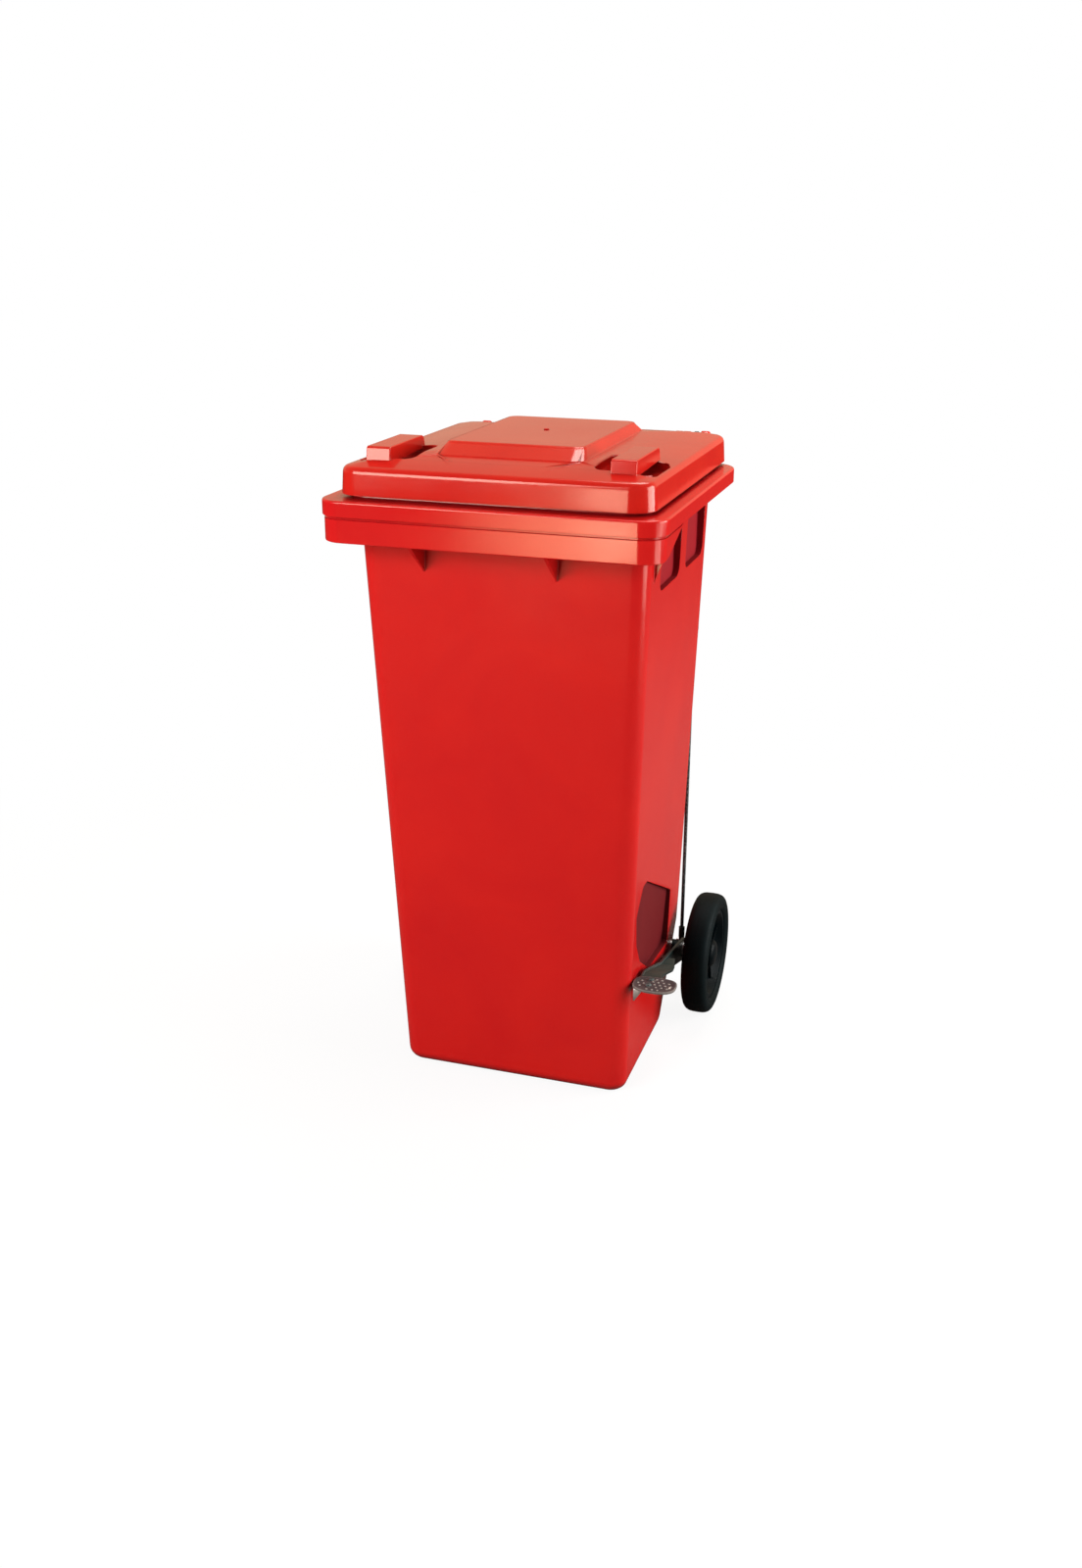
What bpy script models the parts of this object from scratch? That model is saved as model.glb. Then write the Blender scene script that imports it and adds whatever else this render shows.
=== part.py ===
"""Two-wheeled 120 litre waste container with a side foot pedal.

Frame: origin on the ground under the middle of the container, +Z up,
-Y is the front (the comb edge), the wheels and the handle are at +Y.
All sizes in metres.
"""
import math

import bmesh
import bpy
from mathutils import Matrix, Vector

# ---------------------------------------------------------------- dimensions
GAP = 0.0003                 # running gap between neighbouring pieces

# container shell
WALL = 0.0042                # wall thickness
BASE_HX, TOP_HX = 0.1785, 0.2065     # half widths at Z_LOW and Z_NECK
BASE_YF, TOP_YF = -0.161, -0.207     # front face
REAR_Y = 0.174               # rear face
HEEL_Y0, HEEL_Y1, HEEL_Z = 0.085, 0.172, 0.160   # slanted heel above the axle
Z_LOW, Z_NECK = 0.030, 0.850
CORNER_R = 0.024
FLOOR_T = 0.008

# rim and comb
RIM_HX, RIM_YF, RIM_YR, RIM_Z = 0.240, -0.271, 0.215, 0.902
RIM_T, RIM_SKIRT_Z = 0.005, 0.880
RIM_RF, RIM_RR = 0.035, 0.045
COMB_Z, COMB_SET, COMB_END_Y = 0.845, 0.0025, -0.125
COLLAR_HX, COLLAR_YF, COLLAR_YR, COLLAR_Z = 0.2095, -0.238, 0.2055, 0.912

# lid
LID_HX, LID_YF, LID_YR = 0.219, -0.249, 0.232
LID_Z0, LID_SHOULDER_Z, LID_CROWN = 0.906, 0.939, 0.0125
LID_R, LID_T = 0.033, 0.0036
PAD_HX0, PAD_YF0, PAD_YR0 = 0.107, -0.176, 0.156
PAD_HX1, PAD_YF1, PAD_YR1, PAD_Z = 0.0975, -0.143, 0.130, 0.970
GRIP_X0, GRIP_X1, GRIP_Y0, GRIP_Y1, GRIP_Z = 0.153, 0.188, -0.211, -0.084, 0.967
POCKET_X0, POCKET_X1, POCKET_Y0, POCKET_Y1, POCKET_Z = 0.126, 0.208, -0.199, -0.093, 0.935

# lid hinge and handle
HINGE_Y, HINGE_Z, HINGE_PIN_R = 0.246, 0.932, 0.004
CHEEK_X0, CHEEK_X1 = 0.132, 0.144
BAR_Y, BAR_Z, BAR_R = 0.256, 0.868, 0.011

# axle and wheels
AXLE_Y, AXLE_Z, AXLE_R = 0.160, 0.100, 0.010
AXLE_END = 0.245
WHEEL_X, WHEEL_R = 0.232, 0.100

# pedal linkage
ROD_X, ROD_Y, ROD_R = 0.1775, 0.2215, 0.003
PEDAL_DEG = 28.0                       # full travel of the pedal
PIN_R = 0.003
PEDAL_REACH = ROD_Y - AXLE_Y           # axle to rod, along Y
ROD_Z0 = AXLE_Z - PEDAL_REACH * math.tan(math.radians(PEDAL_DEG / 2))
ROD_STROKE = 2 * (AXLE_Z - ROD_Z0)
CRANK = HINGE_Y - ROD_Y                # hinge to rod, along Y
ROD_Z1 = HINGE_Z - ROD_STROKE / 2      # upper pin, lid closed
TREAD_Z = 0.192
ARM_X0, ARM_X1 = 0.190, 0.195

# ---------------------------------------------------------------- materials
MATS = {}


def material(name, colour, rough, metal=0.0):
    if name not in MATS:
        m = bpy.data.materials.new(name)
        m.use_nodes = True
        b = m.node_tree.nodes["Principled BSDF"]
        b.inputs["Base Color"].default_value = (*colour, 1.0)
        b.inputs["Roughness"].default_value = rough
        b.inputs["Metallic"].default_value = metal
        m.diffuse_color = (*colour, 1.0)
        MATS[name] = m
    return MATS[name]


RED = dict(colour=(0.60, 0.022, 0.014), rough=0.38)
BLACK_RUBBER = dict(colour=(0.012, 0.012, 0.013), rough=0.75)
BLACK_PLASTIC = dict(colour=(0.018, 0.018, 0.020), rough=0.5)
DARK_STEEL = dict(colour=(0.030, 0.045, 0.042), rough=0.42, metal=0.3)
ZINC = dict(colour=(0.55, 0.56, 0.57), rough=0.35, metal=1.0)
TREAD = dict(colour=(0.18, 0.14, 0.125), rough=0.7, metal=0.2)


# ---------------------------------------------------------------- mesh tools
def new_object(name, verts, faces):
    me = bpy.data.meshes.new(name)
    me.from_pydata([tuple(v) for v in verts], [], faces)
    me.update()
    bm = bmesh.new()
    bm.from_mesh(me)
    bmesh.ops.recalc_face_normals(bm, faces=bm.faces)
    bm.to_mesh(me)
    bm.free()
    ob = bpy.data.objects.new(name, me)
    bpy.context.scene.collection.objects.link(ob)
    return ob


def loft(name, rings, closed=False):
    """Skin a list of rings with equal point counts; cap the two ends unless closed."""
    n = len(rings[0])
    verts = [p for r in rings for p in r]
    faces = []
    last = len(rings) if closed else len(rings) - 1
    for k in range(last):
        k2 = (k + 1) % len(rings)
        for i in range(n):
            j = (i + 1) % n
            faces.append((k * n + i, k * n + j, k2 * n + j, k2 * n + i))
    if not closed:
        faces.append(tuple(reversed(range(n))))
        faces.append(tuple(range((len(rings) - 1) * n, len(rings) * n)))
    return new_object(name, verts, faces)


def prism(name, outline, lo, hi, axis):
    """Extrude a closed outline (list of 2-D points) from lo to hi along an axis."""
    def place(a, b, t):
        return {"X": (t, a, b), "Y": (a, t, b), "Z": (a, b, t)}[axis]
    return loft(name, [[place(a, b, lo) for a, b in outline], [place(a, b, hi) for a, b in outline]])


def box(name, lo, hi):
    return prism(name, [(lo[0], lo[1]), (hi[0], lo[1]), (hi[0], hi[1]), (lo[0], hi[1])], lo[2], hi[2], "Z")


def turned(name, profile, centre, axis, n, ring=False):
    """Turn a profile [(along, radius), ...] about an axis through centre."""
    verts, faces, idx = [], [], []
    for along, rad in profile:
        row = []
        count = 1 if rad == 0.0 else n
        for i in range(count):
            a = 2 * math.pi * i / n
            c, s = rad * math.cos(a), rad * math.sin(a)
            p = {"X": (along, c, s), "Y": (s, along, c), "Z": (c, s, along)}[axis]
            row.append(len(verts))
            verts.append(Vector(centre) + Vector(p))
        idx.append(row)
    pairs = list(zip(idx, idx[1:]))
    if ring:
        pairs.append((idx[-1], idx[0]))
    for a, b in pairs:
        for i in range(n):
            j = (i + 1) % n
            q = [a[i % len(a)], a[j % len(a)], b[j % len(b)], b[i % len(b)]]
            f = []
            for v in q:
                if v not in f:
                    f.append(v)
            if len(f) > 2:
                faces.append(tuple(f))
    if not ring:
        for row, rev in ((idx[0], True), (idx[-1], False)):
            if len(row) > 1:
                faces.append(tuple(reversed(row)) if rev else tuple(row))
    return new_object(name, verts, faces)


def tube(name, centre, axis, lo, hi, ro, ri, n=20):
    """Straight sleeve between lo and hi along the axis."""
    return turned(name, [(lo, ri), (lo, ro), (hi, ro), (hi, ri)], centre, axis, n, ring=True)


def boolean(target, cutter, operation="DIFFERENCE"):
    mod = target.modifiers.new("cut", "BOOLEAN")
    mod.operation = operation
    mod.solver = "EXACT"
    mod.object = cutter
    dg = bpy.context.evaluated_depsgraph_get()
    me = bpy.data.meshes.new_from_object(target.evaluated_get(dg))
    target.modifiers.clear()
    old = target.data
    target.data = me
    me.name = target.name
    bpy.data.meshes.remove(old)
    cm = cutter.data
    bpy.data.objects.remove(cutter, do_unlink=True)
    bpy.data.meshes.remove(cm)
    return target


def join_to(target, extra):
    return boolean(target, extra, "UNION")


def arc(cy, cz, r, a0, a1, n):
    return [(cy + r * math.cos(math.radians(a0 + (a1 - a0) * i / n)),
             cz + r * math.sin(math.radians(a0 + (a1 - a0) * i / n))) for i in range(n + 1)]


def circle(cy, cz, r, n):
    return arc(cy, cz, r, 0, 360, n)[:-1]


def hull(points):
    """Convex outline around a set of 2-D points."""
    pts = sorted(set((round(a, 7), round(b, 7)) for a, b in points))
    def half(seq):
        out = []
        for p in seq:
            while len(out) > 1 and ((out[-1][0] - out[-2][0]) * (p[1] - out[-2][1])
                                    - (out[-1][1] - out[-2][1]) * (p[0] - out[-2][0])) <= 1e-12:
                out.pop()
            out.append(p)
        return out[:-1]
    return half(pts) + half(pts[::-1])


def rounded(hx, yf, yr, rf, rr, z, n=4):
    """Rounded rectangle ring: front corners rf, rear corners rr."""
    out = []
    for cx, cy, r, a0 in ((hx - rf, yf + rf, rf, -90), (hx - rr, yr - rr, rr, 0),
                          (-hx + rr, yr - rr, rr, 90), (-hx + rf, yf + rf, rf, 180)):
        out += [(x, y, z) for x, y in arc(cx, cy, r, a0, a0 + 90, n)]
    return out


def round_outline(pts, r, n=3):
    """Round the corners of a convex polygon."""
    out = []
    m = len(pts)
    for i in range(m):
        p, a, b = Vector(pts[i]), Vector(pts[i - 1]), Vector(pts[(i + 1) % m])
        u, v = (a - p).normalized(), (b - p).normalized()
        half_angle = u.angle(v) / 2
        d = r / math.tan(half_angle)
        c = p + (u + v).normalized() * (r / math.sin(half_angle))
        s, e = p + u * d - c, p + v * d - c
        sweep = s.angle_signed(e)
        for k in range(n + 1):
            q = s.copy()
            q.rotate(Matrix.Rotation(-sweep * k / n, 2))
            out.append(tuple(c + q))
    return out


def finish(ob, name, look, pivot=None, smooth=True, slot=None):
    """Name the piece, give it its own material, shade it and put its origin on its pivot."""
    ob.name = name
    ob.data.name = name
    ob.data.materials.clear()
    ob.data.materials.append(material(name + "_mat", **look))
    bm = bmesh.new()
    bm.from_mesh(ob.data)
    bmesh.ops.remove_doubles(bm, verts=bm.verts, dist=1e-6)
    bmesh.ops.dissolve_limit(bm, angle_limit=0.0009, verts=bm.verts, edges=bm.edges)
    bmesh.ops.recalc_face_normals(bm, faces=bm.faces)
    for f in bm.faces:
        f.material_index = 0
    bm.to_mesh(ob.data)
    bm.free()
    if smooth:
        ob.data.shade_smooth()
        ob.data.set_sharp_from_angle(angle=math.radians(35))
    if pivot is not None:
        ob.data.transform(Matrix.Translation(-Vector(pivot)))
        ob.location = pivot
    return ob


# ---------------------------------------------------------------- container
def wall_at(z):
    t = (z - Z_LOW) / (Z_NECK - Z_LOW)
    return BASE_HX + (TOP_HX - BASE_HX) * t, BASE_YF + (TOP_YF - BASE_YF) * t


def heel_at(z):
    if z < HEEL_Z:
        return HEEL_Y0 + (HEEL_Y1 - HEEL_Y0) * z / HEEL_Z
    return min(REAR_Y, HEEL_Y1 + (z - HEEL_Z) * 0.04)


def body_ring(z, inset=0.0, r=CORNER_R, n=4):
    hx, yf = wall_at(z)
    return rounded(hx - inset, yf + inset, heel_at(z) - inset, max(r - inset, 0.006), max(r - inset, 0.006), z, n)


def side_prism(outline, x0, x1, side):
    ob = prism("side_prism", outline, min(x0 * side, x1 * side), max(x0 * side, x1 * side), "X")
    return ob


def wedge(x):
    """Rib under the comb that narrows towards its foot."""
    side = [(-0.2655, 0.8505), (-0.2655, 0.8560), (-0.230, 0.8985), (-0.200, 0.8985), (-0.2038, 0.800)]
    half_width = lambda z: 0.0016 + (z - 0.800) * 0.030
    return loft("rib", [[(x - half_width(z), y, z) for y, z in side], [(x + half_width(z), y, z) for y, z in side]])


def build_body():
    rings = [body_ring(0.0, 0.014, 0.030), body_ring(0.004, 0.006, 0.027), body_ring(0.013, 0.001, 0.025),
             body_ring(0.030), body_ring(HEEL_Z), body_ring(HEEL_Z + 0.05), body_ring(Z_NECK)]
    neck = dict(rf=0.034, rr=0.036)
    rings += [rounded(0.2105, -0.238, 0.206, z=0.886, **neck),
              rounded(0.2105, -0.238, 0.206, z=RIM_Z - RIM_T, **neck),
              rounded(RIM_HX - 0.004, RIM_YF + 0.004, RIM_YR - 0.004, RIM_RF - 0.004, RIM_RR - 0.004, RIM_Z - RIM_T),
              rounded(RIM_HX - 0.004, RIM_YF + 0.004, RIM_YR - 0.004, RIM_RF - 0.004, RIM_RR - 0.004, RIM_SKIRT_Z),
              rounded(RIM_HX, RIM_YF, RIM_YR, RIM_RF, RIM_RR, RIM_SKIRT_Z),
              rounded(RIM_HX, RIM_YF, RIM_YR, RIM_RF, RIM_RR, RIM_Z - 0.0025),
              rounded(RIM_HX - 0.0025, RIM_YF + 0.0025, RIM_YR - 0.0025, RIM_RF - 0.0025, RIM_RR - 0.0025, RIM_Z),
              rounded(COLLAR_HX, COLLAR_YF, COLLAR_YR, 0.033, 0.035, RIM_Z),
              rounded(COLLAR_HX - 0.0008, COLLAR_YF + 0.0008, COLLAR_YR - 0.0008, 0.033, 0.035, COLLAR_Z)]
    body = loft("bin_body", rings)

    # inner volume
    inner = [body_ring(FLOOR_T, WALL + 0.010, 0.034), body_ring(FLOOR_T + 0.008, WALL + 0.0015, 0.030),
             body_ring(0.035, WALL), body_ring(HEEL_Z, WALL), body_ring(HEEL_Z + 0.05, WALL), body_ring(Z_NECK, WALL),
             rounded(0.2055, -0.2335, 0.201, 0.030, 0.031, 0.886),
             rounded(0.2050, -0.2335, 0.201, 0.030, 0.031, COLLAR_Z + 0.01)]
    space = loft("inner_space", inner)

    # hollows pressed into the side walls: two under the flange, one above the pedal
    upper = [[(y0, 0.884), (y0, 0.778), (y1, 0.778), (y1, 0.884)] for y0, y1 in ((-0.130, -0.014), (0.022, 0.136))]
    lower = [(-0.141, 0.292), (-0.110, 0.328), (-0.087, 0.328), (0.086, 0.240), (0.088, 0.192), (0.088, 0.146), (0.081, 0.146), (-0.035, 0.158), (-0.100, 0.201), (-0.130, 0.242)]
    for side in (1, -1):
        for o in upper:
            shape = [o[0]] + round_outline(o, 0.014)[4:12] + [o[3]]
            grown = [(min(o[0][0], o[3][0]) - WALL, 0.8885), (o[0][0] - WALL, 0.772), (o[3][0] + WALL, 0.772),
                     (o[3][0] + WALL, 0.8885)]
            boolean(space, side_prism(grown, 0.1905, 0.230, side))
            boolean(body, side_prism(shape, 0.1950, 0.229, side))
        # the lower hollow is a flat facet that leans inwards towards the ground
        cx, cz = -0.01, 0.225
        big = [(cx + (y - cx) * 1.05, cz + (z - cz) * 1.07) for y, z in lower]
        for target, outline, depth in ((space, big, WALL), (body, lower, 0.0)):
            hx0, _ = wall_at(0.318)
            hx1, _ = wall_at(0.146)
            def skew(y, z):
                t = (0.318 - z) / (0.318 - 0.146)
                return hx0 - 0.004 + (hx1 - 0.010 - (hx0 - 0.004)) * t - depth
            a = [(side * skew(y, z), y, z) for y, z in outline]
            b = [(side * 0.215, y, z) for y, z in outline]
            boolean(target, loft("facet", [a, b]))
    boolean(body, space)

    # comb apron under the front of the rim, wrapping both front corners
    path = []
    hx, yf, r = RIM_HX - COMB_SET, RIM_YF + COMB_SET, RIM_RF - COMB_SET
    stations = [(COMB_END_Y, 0.8795), (-0.162, 0.8705), (-0.222, 0.8485)]
    side_pts = [((hx, y), (1, 0), z) for y, z in stations]
    arc_pts = [((hx - r + r * math.cos(math.radians(a)), yf + r + r * math.sin(math.radians(a))),
                (math.cos(math.radians(a)), math.sin(math.radians(a))), COMB_Z + (0.0015 if a == 0 else 0)) for a in (0, -22.5, -45, -67.5, -90)]
    right = side_pts + arc_pts
    left = [((-p[0], p[1]), (-nx, ny), z) for p, (nx, ny), z in reversed(right)]
    for p, nrm, z in right + left:
        o, i = Vector(p), Vector(p) - Vector(nrm) * 0.004
        path.append([(o.x, o.y, z), (o.x, o.y, 0.8855), (i.x, i.y, 0.8855), (i.x, i.y, z)])
    join_to(body, loft("comb", path))
    # two short ribs that carry the comb, and one gusset under each side flange
    for x in (-0.110, 0.080):
        join_to(body, wedge(x))
    for side in (1, -1):
        gus = prism("gusset", [(0.2365 * side, 0.8985), (0.2365 * side, 0.8830), (0.2035 * side, 0.795), (0.2030 * side, 0.8985)],
                    -0.1685, -0.1615, "Y")
        join_to(body, gus)

    # axle lugs on the slanted heel
    lug = hull(circle(AXLE_Y, AXLE_Z, 0.0185, 20) + [(0.1128, 0.0561), (0.1621, 0.1493)])
    for x0, x1 in ((-0.165, -0.153), (-0.052, -0.040), (0.040, 0.052), (0.153, 0.165)):
        join_to(body, prism("lug", lug, x0, x1, "X"))
    boolean(body, turned("axle_bore", [(-0.18, AXLE_R + 0.0004), (0.18, AXLE_R + 0.0004)], (0, AXLE_Y, AXLE_Z), "X", 24))

    # handle cheeks with the hinge eyes, and the grip bar between them
    cheek = hull([(0.2085, 0.8985), (0.2085, 0.8835)] + circle(BAR_Y, BAR_Z, BAR_R + 0.004, 16) + [(0.262, 0.898), (0.236, 0.9035)])
    eye = hull(circle(HINGE_Y, HINGE_Z, 0.0105, 16) + [(0.2365, 0.900), (0.2555, 0.900)])
    for side in (1, -1):
        lo, hi = sorted((CHEEK_X0 * side, CHEEK_X1 * side))
        join_to(body, prism("cheek", cheek, lo, hi, "X"))
        join_to(body, prism("eye", eye, lo + 0.0007, hi - 0.0007, "X"))
    join_to(body, turned("bar", [(-0.138, BAR_R), (0.138, BAR_R)], (0, BAR_Y, BAR_Z), "X", 20))
    boolean(body, turned("hinge_bore", [(-0.16, HINGE_PIN_R + 0.0004), (0.16, HINGE_PIN_R + 0.0004)],
                         (0, HINGE_Y, HINGE_Z), "X", 16))
    # blind holes for the four guide screws
    for z in GUIDE_Z:
        for dz in (-0.012, 0.012):
            boolean(body, turned("screw_hole", [(REAR_Y - 0.003, 0.0025), (REAR_Y + 0.01, 0.0025)],
                                 (GUIDE_SCREW_X, 0, z + dz), "Y", 8))
    return finish(body, "bin_body", RED)


GUIDE_Z = (0.640, 0.826)
GUIDE_SCREW_X = 0.148


# ---------------------------------------------------------------- lid
def crown(d):
    """Height of the lid's top above the shoulder at a distance d from its edge."""
    return LID_CROWN * (1 - (1 - min(d, 0.12) / 0.12) ** 2)


def lid_ring(inset, z, n=4):
    r = max(LID_R - inset, 0.008)
    return rounded(LID_HX - inset, LID_YF + inset, LID_YR - inset, r, r, z, n)


def build_lid():
    top = LID_SHOULDER_Z + 0.005
    rings = [lid_ring(0.0, LID_Z0), lid_ring(0.0018, LID_SHOULDER_Z - 0.003), lid_ring(0.0045, LID_SHOULDER_Z + 0.0025),
             lid_ring(0.0105, top)]
    rings += [lid_ring(0.0105 + d, top + crown(d)) for d in (0.03, 0.065, 0.105)]
    lid = loft("lid", rings)
    pad = [rounded(PAD_HX0 + 0.001, PAD_YF0 - 0.001, PAD_YR0 + 0.001, 0.020, 0.020, 0.948),
           rounded(PAD_HX0, PAD_YF0, PAD_YR0, 0.020, 0.020, 0.9545),
           rounded(PAD_HX1 + 0.001, PAD_YF1 - 0.002, PAD_YR1 + 0.002, 0.014, 0.014, PAD_Z - 0.0015),
           rounded(PAD_HX1 - 0.001, PAD_YF1 + 0.001, PAD_YR1 - 0.001, 0.012, 0.012, PAD_Z)]
    join_to(lid, loft("pad", pad))

    inner = [lid_ring(LID_T, LID_Z0 - 0.01), lid_ring(LID_T + 0.0016, LID_SHOULDER_Z - 0.0045),
             lid_ring(LID_T + 0.010, top - LID_T)]
    inner += [lid_ring(LID_T + 0.0105 + d, top + crown(d) - LID_T) for d in (0.03, 0.065, 0.105)]
    space = loft("lid_space", inner)
    under = [rounded(PAD_HX0 - LID_T, PAD_YF0 + LID_T, PAD_YR0 - LID_T, 0.016, 0.016, 0.940),
             rounded(PAD_HX0 - LID_T, PAD_YF0 + LID_T, PAD_YR0 - LID_T, 0.016, 0.016, 0.9525),
             rounded(PAD_HX1 - LID_T, PAD_YF1 + LID_T, PAD_YR1 - LID_T, 0.010, 0.010, PAD_Z - LID_T)]
    join_to(space, loft("pad_space", under))

    for side in (1, -1):
        # finger pocket with sloping ends; the grip bridges it from front to rear
        def pocket(grow, z):
            lo, hi = sorted(((POCKET_X0 - grow) * side, (POCKET_X1 + grow) * side))
            cx, hw = (lo + hi) / 2, (hi - lo) / 2
            return [(x + cx, y, zz) for x, y, zz in rounded(hw, POCKET_Y0 - grow, POCKET_Y1 + grow, 0.016, 0.016, z, 3)]
        boolean(space, loft("pocket_skin", [pocket(-0.004 + LID_T, POCKET_Z - LID_T), pocket(LID_T, 0.944), pocket(LID_T, 0.975)]))
        boolean(lid, loft("pocket", [pocket(-0.004, POCKET_Z), pocket(0.0, 0.945), pocket(0.0, 0.980)]))
    boolean(lid, space)
    for side in (1, -1):
        lo, hi = sorted((GRIP_X0 * side, GRIP_X1 * side))
        grip = hull([(GRIP_Y0, 0.9465), (GRIP_Y0 + 0.003, GRIP_Z - 0.002), (GRIP_Y0 + 0.006, GRIP_Z), (GRIP_Y1 - 0.008, GRIP_Z + 0.0005),
                     (GRIP_Y1 - 0.003, GRIP_Z - 0.003), (GRIP_Y1 + 0.002, 0.9500), (GRIP_Y1 - 0.004, 0.9495), (GRIP_Y0 + 0.006, 0.9460)])
        bar = prism("grip", grip, lo, hi, "X")
        join_to(lid, bar)
    # finger channel under each grip, in case the grip's ends dip into the pocket
    # hinge knuckles
    knuckle = hull(circle(HINGE_Y, HINGE_Z, 0.0105, 16) + [(LID_YR - 0.0035, 0.9385), (LID_YR - 0.0035, 0.9175)])
    for side in (1, -1):
        lo, hi = sorted((0.1443 * side, 0.1557 * side))
        join_to(lid, prism("knuckle", knuckle, lo, hi, "X"))
    boolean(lid, turned("hinge_bore", [(-0.17, HINGE_PIN_R + 0.0004), (0.17, HINGE_PIN_R + 0.0004)],
                        (0, HINGE_Y, HINGE_Z), "X", 16))
    # notch in the rear skirt for the lifter and the rod
    boolean(lid, box("notch", (0.1565, 0.2235, 0.900), (0.1925, 0.240, 0.9385)))
    # the two handle cheeks pass below the rear skirt
    return finish(lid, "lid", RED, pivot=(0, HINGE_Y, HINGE_Z))


def build_lid_parts():
    out = []
    for side, tag in ((-1, "left"), (1, "right")):
        ring0 = [(x + 0.120 * side, y - 0.2325, 0.0) for x, y, _ in rounded(0.011, -0.0045, 0.0045, 0.0025, 0.0025, 0, 2)]
        b = loft("lid_buffer_" + tag, [[(x, y, COLLAR_Z + GAP) for x, y, _ in ring0], [(x, y, 0.9385) for x, y, _ in ring0]])
        out.append(finish(b, "lid_buffer_" + tag, BLACK_RUBBER, pivot=(0, HINGE_Y, HINGE_Z)))
    return out


# ---------------------------------------------------------------- hinge parts
def build_hinge():
    for side, tag in ((-1, "left"), (1, "right")):
        prof = [(0.1275, 0.0), (0.1275, 0.0062), (0.1316, 0.0070), (0.1316, HINGE_PIN_R), (0.1835, HINGE_PIN_R), (0.1835, 0.0)]
        if side < 0:
            prof = [(-a, r) for a, r in prof]
        pin = turned("hinge_pin", prof, (0, HINGE_Y, HINGE_Z), "X", 16)
        finish(pin, "hinge_pin_" + tag, ZINC)
        prof = [(0.1724, HINGE_PIN_R + 0.0004), (0.1724, 0.0112), (0.1738, 0.0120), (0.1835, 0.0120), (0.1862, 0.0095),
                (0.1868, 0.0), (0.1840, 0.0), (0.1840, HINGE_PIN_R + 0.0004)]
        cap = turned_cup("hinge_cap", prof, side)
        finish(cap, "hinge_cap_" + tag, RED)
    sl = tube("hinge_spacer_left", (0, HINGE_Y, HINGE_Z), "X", -0.1720, -0.1560, 0.0085, HINGE_PIN_R + 0.0004, 16)
    finish(sl, "hinge_spacer_left", BLACK_PLASTIC)


def turned_cup(name, prof, side, centre=None, n=20):
    """A turned piece whose profile starts on a bore and ends on it, crossing the axis twice."""
    centre = centre or (0, HINGE_Y, HINGE_Z)
    axis_pts = [i for i, (a, r) in enumerate(prof) if r == 0.0]
    outer = prof[:axis_pts[0] + 1]
    inner = prof[axis_pts[1]:]
    pts = outer[::-1] + inner[::-1]        # axis, outer skin, mouth ... bore, axis
    prof2 = [(side * a, r) for a, r in pts]
    return turned(name, prof2, centre, "X", n)


# ---------------------------------------------------------------- axle and wheels
def build_axle():
    c = (0, AXLE_Y, AXLE_Z)
    e = AXLE_END
    ax = turned("axle", [(-e, 0.0), (-e, AXLE_R - 0.001), (-e + 0.001, AXLE_R), (e - 0.001, AXLE_R), (e, AXLE_R - 0.001), (e, 0.0)], c, "X", 24)
    finish(ax, "axle", ZINC)
    for side, tag in ((-1, "left"), (1, "right")):
        lo, hi = sorted((0.2405 * side, 0.2425 * side))
        finish(tube("clip", c, "X", lo, hi, 0.0160, AXLE_R + 0.0004, 20), "axle_clip_" + tag, ZINC)
    finish(tube("sp", c, "X", -0.2106, -0.1654, 0.0145, AXLE_R + 0.0004, 20), "axle_spacer_left", BLACK_PLASTIC)
    finish(tube("sp", c, "X", 0.1654, 0.1856, 0.0145, AXLE_R + 0.0004, 20), "axle_spacer_right", BLACK_PLASTIC)
    finish(tube("sp", c, "X", 0.2064, 0.2106, 0.0165, AXLE_R + 0.0004, 20), "axle_washer_right", ZINC)


def build_wheels():
    tyre = [(-0.0165, 0.0740), (-0.0205, 0.0800), (-0.0210, 0.0880), (-0.0175, 0.0955), (-0.0095, 0.0993), (0.0, 0.1),
            (0.0095, 0.0993), (0.0175, 0.0955), (0.0210, 0.0880), (0.0205, 0.0800), (0.0165, 0.0740)]
    hub = [(-0.0210, AXLE_R + 0.0004), (-0.0210, 0.0205), (-0.0040, 0.0235), (-0.0040, 0.0620), (-0.0160, 0.0665),
           (-0.0160, 0.0737), (0.0160, 0.0737), (0.0160, 0.0670), (0.0030, 0.0620), (0.0030, 0.0245), (0.0080, 0.0235),
           (0.0080, AXLE_R + 0.0004)]
    for side, tag in ((-1, "left"), (1, "right")):
        c = (WHEEL_X * side, AXLE_Y, AXLE_Z)
        p = (WHEEL_X * side, AXLE_Y, AXLE_Z)
        t = turned("tyre", [(a * side, r) for a, r in tyre], c, "X", 36, ring=True)
        finish(t, "tyre_" + tag, BLACK_RUBBER, pivot=p)
        h = turned("hub", [(a * side, r) for a, r in hub], c, "X", 30, ring=True)
        finish(h, "wheel_hub_" + tag, BLACK_PLASTIC, pivot=p)
        cap = turned_cup("cap", [(0.2403, 0.0185), (0.2403, 0.0225), (0.2462, 0.0216), (0.2496, 0.0165), (0.2512, 0.0085),
                                 (0.2516, 0.0), (0.2492, 0.0), (0.2487, 0.0120), (0.2462, 0.0178)],
                         side, (0, AXLE_Y, AXLE_Z), 20)
        finish(cap, "hub_cap_" + tag, BLACK_PLASTIC, pivot=p)


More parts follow.
